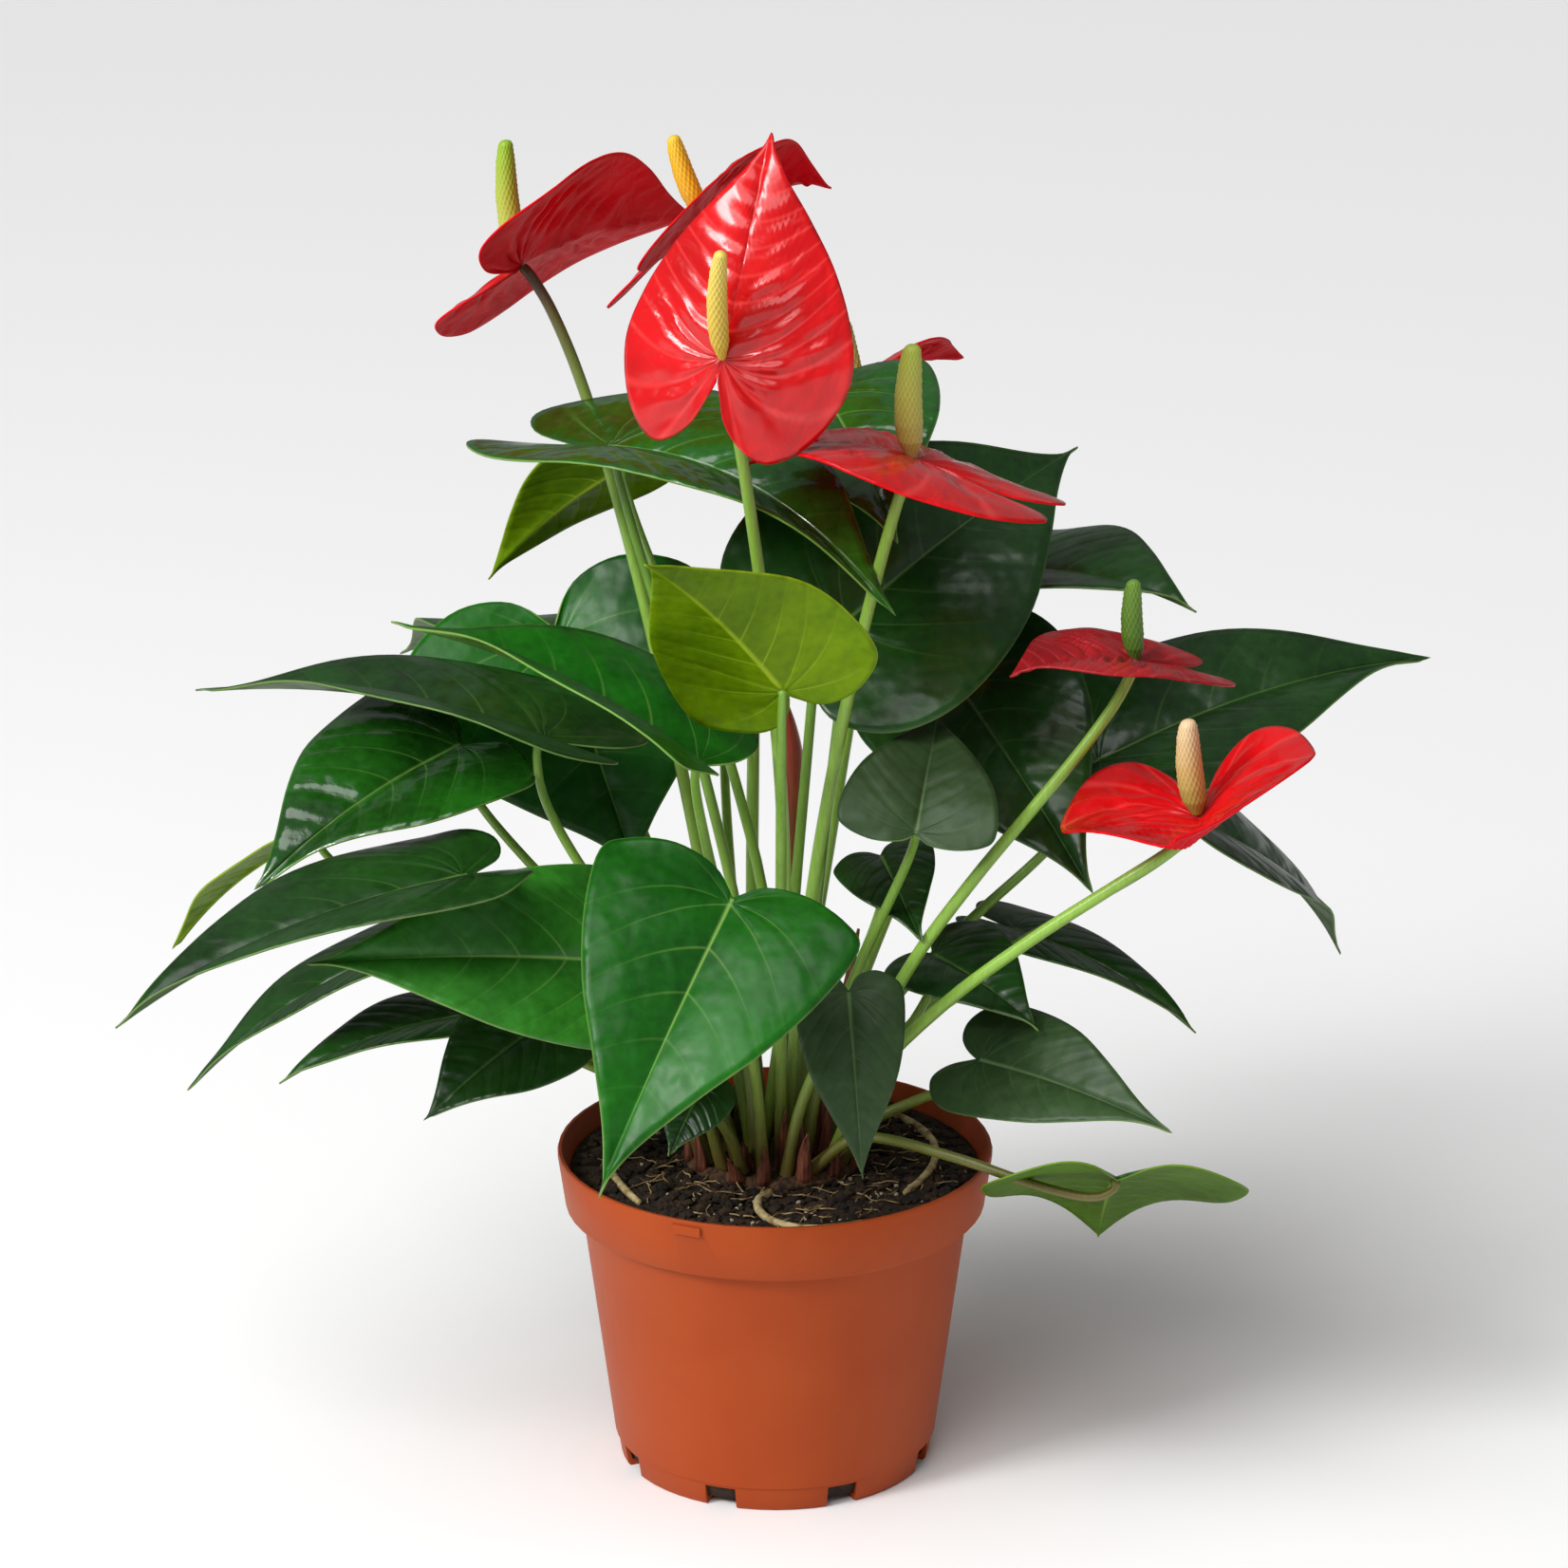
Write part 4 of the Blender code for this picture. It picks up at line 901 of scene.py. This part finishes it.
def spadix_mesh(name, node, foot):
    """A dense bar through the CAD spike's rings, its skin raised into florets."""
    shape = node_shape(node)
    spots = np.array([v.co[:] for v in shape.verts])
    shape.free()
    ends = spots - spots.mean(axis=0)
    axis = np.linalg.svd(ends, full_matrices=False)[2][0]
    if (spots.mean(axis=0) - foot) @ axis < 0:
        axis = -axis
    reach = ends @ axis
    length = reach.max() - reach.min()
    across = np.cross(axis, (0.0, 1.0, 0.0))
    across /= np.linalg.norm(across)
    other = np.cross(axis, across)
    along = (reach - reach.min()) / length
    levels = []
    for share in np.unique(np.round(along, 2)):
        near = spots[np.abs(along - share) < 0.012]
        if len(near) >= 6:
            middle = near.mean(axis=0)
            levels.append((share, middle, np.linalg.norm(near - middle, axis=1).mean()))
    shares = np.array([s for s, _, _ in levels])
    middles = np.array([m for _, m, _ in levels])
    radii = np.array([r for _, _, r in levels])
    t = np.linspace(0, 1, SPADIX_RINGS)
    centre = np.stack([np.interp(t, shares, middles[:, i]) for i in range(3)], axis=1)
    radius = np.interp(t, shares, radii)
    cap = np.clip((1 - t) * length / (radii[-2] * 0.9), 0, 1)
    radius = np.where(cap < 1, np.maximum(radii[-2], radius) * np.sqrt(1 - (1 - cap) ** 2), radius)
    turns = round(2 * math.pi * radii.max() / FLORET_GAP)
    angle = np.linspace(0, 2 * math.pi, SPADIX_SIDES, endpoint=False)
    grid_t, grid_a = np.meshgrid(t * length, angle, indexing="ij")
    left = np.cos(turns * grid_a + math.pi * grid_t / FLORET_GAP)
    right = np.cos(turns * grid_a - math.pi * grid_t / FLORET_GAP)
    floret = 0.5 + 0.25 * (left + right)
    fade = np.clip(radius / radii.max() * 1.4, 0, 1)[:, None]
    size = radius[:, None] + FLORET_PROUD * (floret - 0.6) * fade
    spokes = np.cos(angle)[None, :, None] * across + np.sin(angle)[None, :, None] * other
    rings = centre[:, None, :] + size[..., None] * spokes
    points = rings.reshape(-1, 3)
    faces = []
    for ring in range(SPADIX_RINGS - 1):
        low = ring * SPADIX_SIDES
        for k in range(SPADIX_SIDES):
            n = (k + 1) % SPADIX_SIDES
            above = low + SPADIX_SIDES
            faces.append((low + k, low + n, above + n, above + k))
    faces.append(tuple(reversed(range(SPADIX_SIDES))))
    faces.append(tuple(range(len(points) - SPADIX_SIDES, len(points))))
    mesh = bpy.data.meshes.new(name)
    mesh.from_pydata(points.tolist(), [], faces)
    florets = mesh.uv_layers.new(name="florets")
    corners = [loop.vertex_index for loop in mesh.loops]
    uv = np.stack([floret.ravel()[corners], np.repeat(t, SPADIX_SIDES)[corners]], axis=1)
    florets.data.foreach_set("uv", uv.ravel())
    mesh.shade_smooth()
    return placed(name, mesh)


for number in FLOWERS:
    node = "spadix_%d" % number
    low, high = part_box(node)
    name = "spadix_florets_%d" % number
    finish = spadix_material(name, *SPADIX_COLOURS[number], low.z, high.z)
    stalk_top = stations("peduncle_%d" % number)[-1][0]
    piece = spadix_mesh(node + "_spike", node, stalk_top)
    piece.data.materials.append(finish)
    seat(piece, node)


# ---- Sheaths, bud and roots: dry red-brown sheaths stand at the foot of the stalks, a
# young bract is still rolled round its spike, and three woody roots lie on the soil.

# Dry sheath: papery, red-brown, streaked lengthwise
papery, tree, shader = new_material("dry_papery_sheath")
place = add(tree, "ShaderNodeTexCoord").outputs["Object"]
along = add(tree, "ShaderNodeMapping", {"Vector": place, "Scale": (1.0, 1.0, 0.08)})
streaks = add(
    tree, "ShaderNodeTexNoise", {"Vector": along.outputs["Vector"], "Scale": 700.0, "Detail": 4.0}
)
tint = two_tone(tree, streaks.outputs["Fac"], "#4A1E12", "#96543A", 0.35, 0.68)
relief = raised(tree, streaks.outputs["Fac"], 0.6, 0.0008)
dress(tree, shader, tint, 0.7, relief)

for sheath in ("sheath_1", "sheath_2"):
    piece = bar(sheath + "_wrap", [smoothed(stations(sheath), 5)], papery, 3)
    seat(piece, sheath)

# The sheaths of the older stalks have split and stand as torn, half-rolled scales
SCALE_RINGS = ((0.30, 5), (0.62, 9), (0.90, 15))
SCALE_STEPS = 8
SCALE_WALL = 0.0003


def scale_sheet(gathered, foot, bearing, radius, height, lean):
    """One torn scale: a sheet curled round its stalk, narrowing to a ragged top."""
    rows = []
    for i in range(SCALE_STEPS + 1):
        t = i / SCALE_STEPS
        spread = math.radians(95 * (1 - t) ** 0.8 + 3)
        row = []
        for j in range(SCALE_STEPS + 1):
            turn = bearing + spread * (2 * j / SCALE_STEPS - 1)
            dent = 0.0006 * noise.noise(Vector((j * 0.9, t * 3, foot.x * 900)))
            reach = radius * (1 - 0.15 * t) + dent
            ragged = 1 - 0.14 * t * abs(noise.noise(Vector((j * 1.7, foot.y * 700, 3))))
            row.append(gathered.verts.new((
                foot.x + reach * math.cos(turn) + lean.x * t * t,
                foot.y + reach * math.sin(turn) + lean.y * t * t,
                foot.z + height * t * ragged,
            )))
        rows.append(row)
    for low, high in zip(rows, rows[1:]):
        for a, b, c, d in zip(low, low[1:], high[1:], high):
            gathered.faces.new((a, b, c, d))


gathered = bmesh.new()
for share, count in SCALE_RINGS:
    for k in range(count):
        angle = 2 * math.pi * (k + dice.uniform(-0.3, 0.3)) / count
        reach = share * crown_radius
        foot = Vector((reach * math.cos(angle), reach * math.sin(angle), crown_high.z - 0.002))
        outward = Vector((math.cos(angle), math.sin(angle), 0))
        bearing = angle + dice.uniform(-0.7, 0.7)
        radius = dice.uniform(0.0026, 0.0036)
        height = dice.uniform(0.014, 0.040) * (1.15 - 0.5 * share)
        lean = outward * dice.uniform(0.001, 0.005)
        scale_sheet(gathered, foot, bearing, radius, height, lean)
scales = gathered_piece("torn_scales", gathered, papery)
wall = scales.modifiers.new("wall", "SOLIDIFY")
wall.thickness = SCALE_WALL
apply_modifiers(scales)
scales.data.shade_smooth()
seat(scales, "crown")

# Rolled bract: dull red over green at its stalk
rolled = stalk_material("rolled_young_bract", "#6A8A34", "#7A6A2A", "#A3201C", 0.285)
bud = bar("bud_roll", [smoothed(stations("bud"), 4)], rolled, 4)
seat(bud, "bud")

# Living root: corky, pale tan with browner patches
root_bark, tree, shader = new_material("corky_root")
place = add(tree, "ShaderNodeTexCoord").outputs["Object"]
bark = add(tree, "ShaderNodeTexNoise", {"Vector": place, "Scale": 260.0, "Detail": 4.0})
tint = two_tone(tree, bark.outputs["Fac"], "#7A5C36", "#C8B684", 0.35, 0.65)
relief = raised(tree, bark.outputs["Fac"], 0.6, 0.001)
dress(tree, shader, tint, 0.8, relief)

ROOT_SWELL = 0.0006

for root in ("root_front", "root_right", "root_left"):
    piece = welded_copy(root, root + "_wood")
    piece.data.materials.append(root_bark)
    swell = piece.modifiers.new("swell", "DISPLACE")
    swell.strength = ROOT_SWELL
    swell.mid_level = 0.0
    rounding = piece.modifiers.new("rounding", "SUBSURF")
    rounding.levels = 2
    rounding.render_levels = 2
    apply_modifiers(piece)
    piece.data.shade_smooth()
    seat(piece, root)


# ---- Studio: a plain pale floor in a white room, with a large soft light from the upper
# left, a weaker one from the right and wide daylight from above.

bpy.ops.mesh.primitive_plane_add(size=8.0, location=(0, 0, 0))
floor = bpy.context.object
floor.name = "floor"
white, tree, shader = new_material("white_floor")
shader.inputs["Base Color"].default_value = linear("#F4F4F4")
shader.inputs["Roughness"].default_value = 0.9
floor.data.materials.append(white)

world = bpy.data.worlds.new("white_room")
bpy.context.scene.world = world
world.use_nodes = True
room = world.node_tree.nodes["Background"]
room.inputs["Color"].default_value = (1, 1, 1, 1)
room.inputs["Strength"].default_value = 0.22

PLANT_MIDDLE = Vector((0, 0, 0.25))


def soft_light(name, place, size, power):
    """A round area light that faces the middle of the plant."""
    data = bpy.data.lights.new(name, "AREA")
    data.shape = "DISK"
    data.size = size
    data.energy = power
    lamp = placed(name, data)
    lamp.location = place
    lamp.rotation_euler = (PLANT_MIDDLE - Vector(place)).to_track_quat("-Z", "Y").to_euler()


soft_light("key", (-1.9, -1.4, 1.7), 0.8, 44)
soft_light("fill", (1.9, -1.4, 1.0), 1.2, 1.2)

skylight = bpy.data.lights.new("overhead", "SUN")
skylight.energy = 2.4
skylight.angle = math.radians(55)
overhead = placed("overhead", skylight)
overhead.rotation_euler = (math.radians(28), math.radians(-24), 0)

camera_data = bpy.data.cameras.new("camera")
camera_data.sensor_width = 36
camera_data.lens = 121.16
camera = placed("camera", camera_data)
camera.location = (0.0034, -1.857, 0.867)
camera.rotation_euler = (math.radians(72.1), 0, 0)
bpy.context.scene.camera = camera
bpy.context.scene.view_settings.view_transform = "Standard"
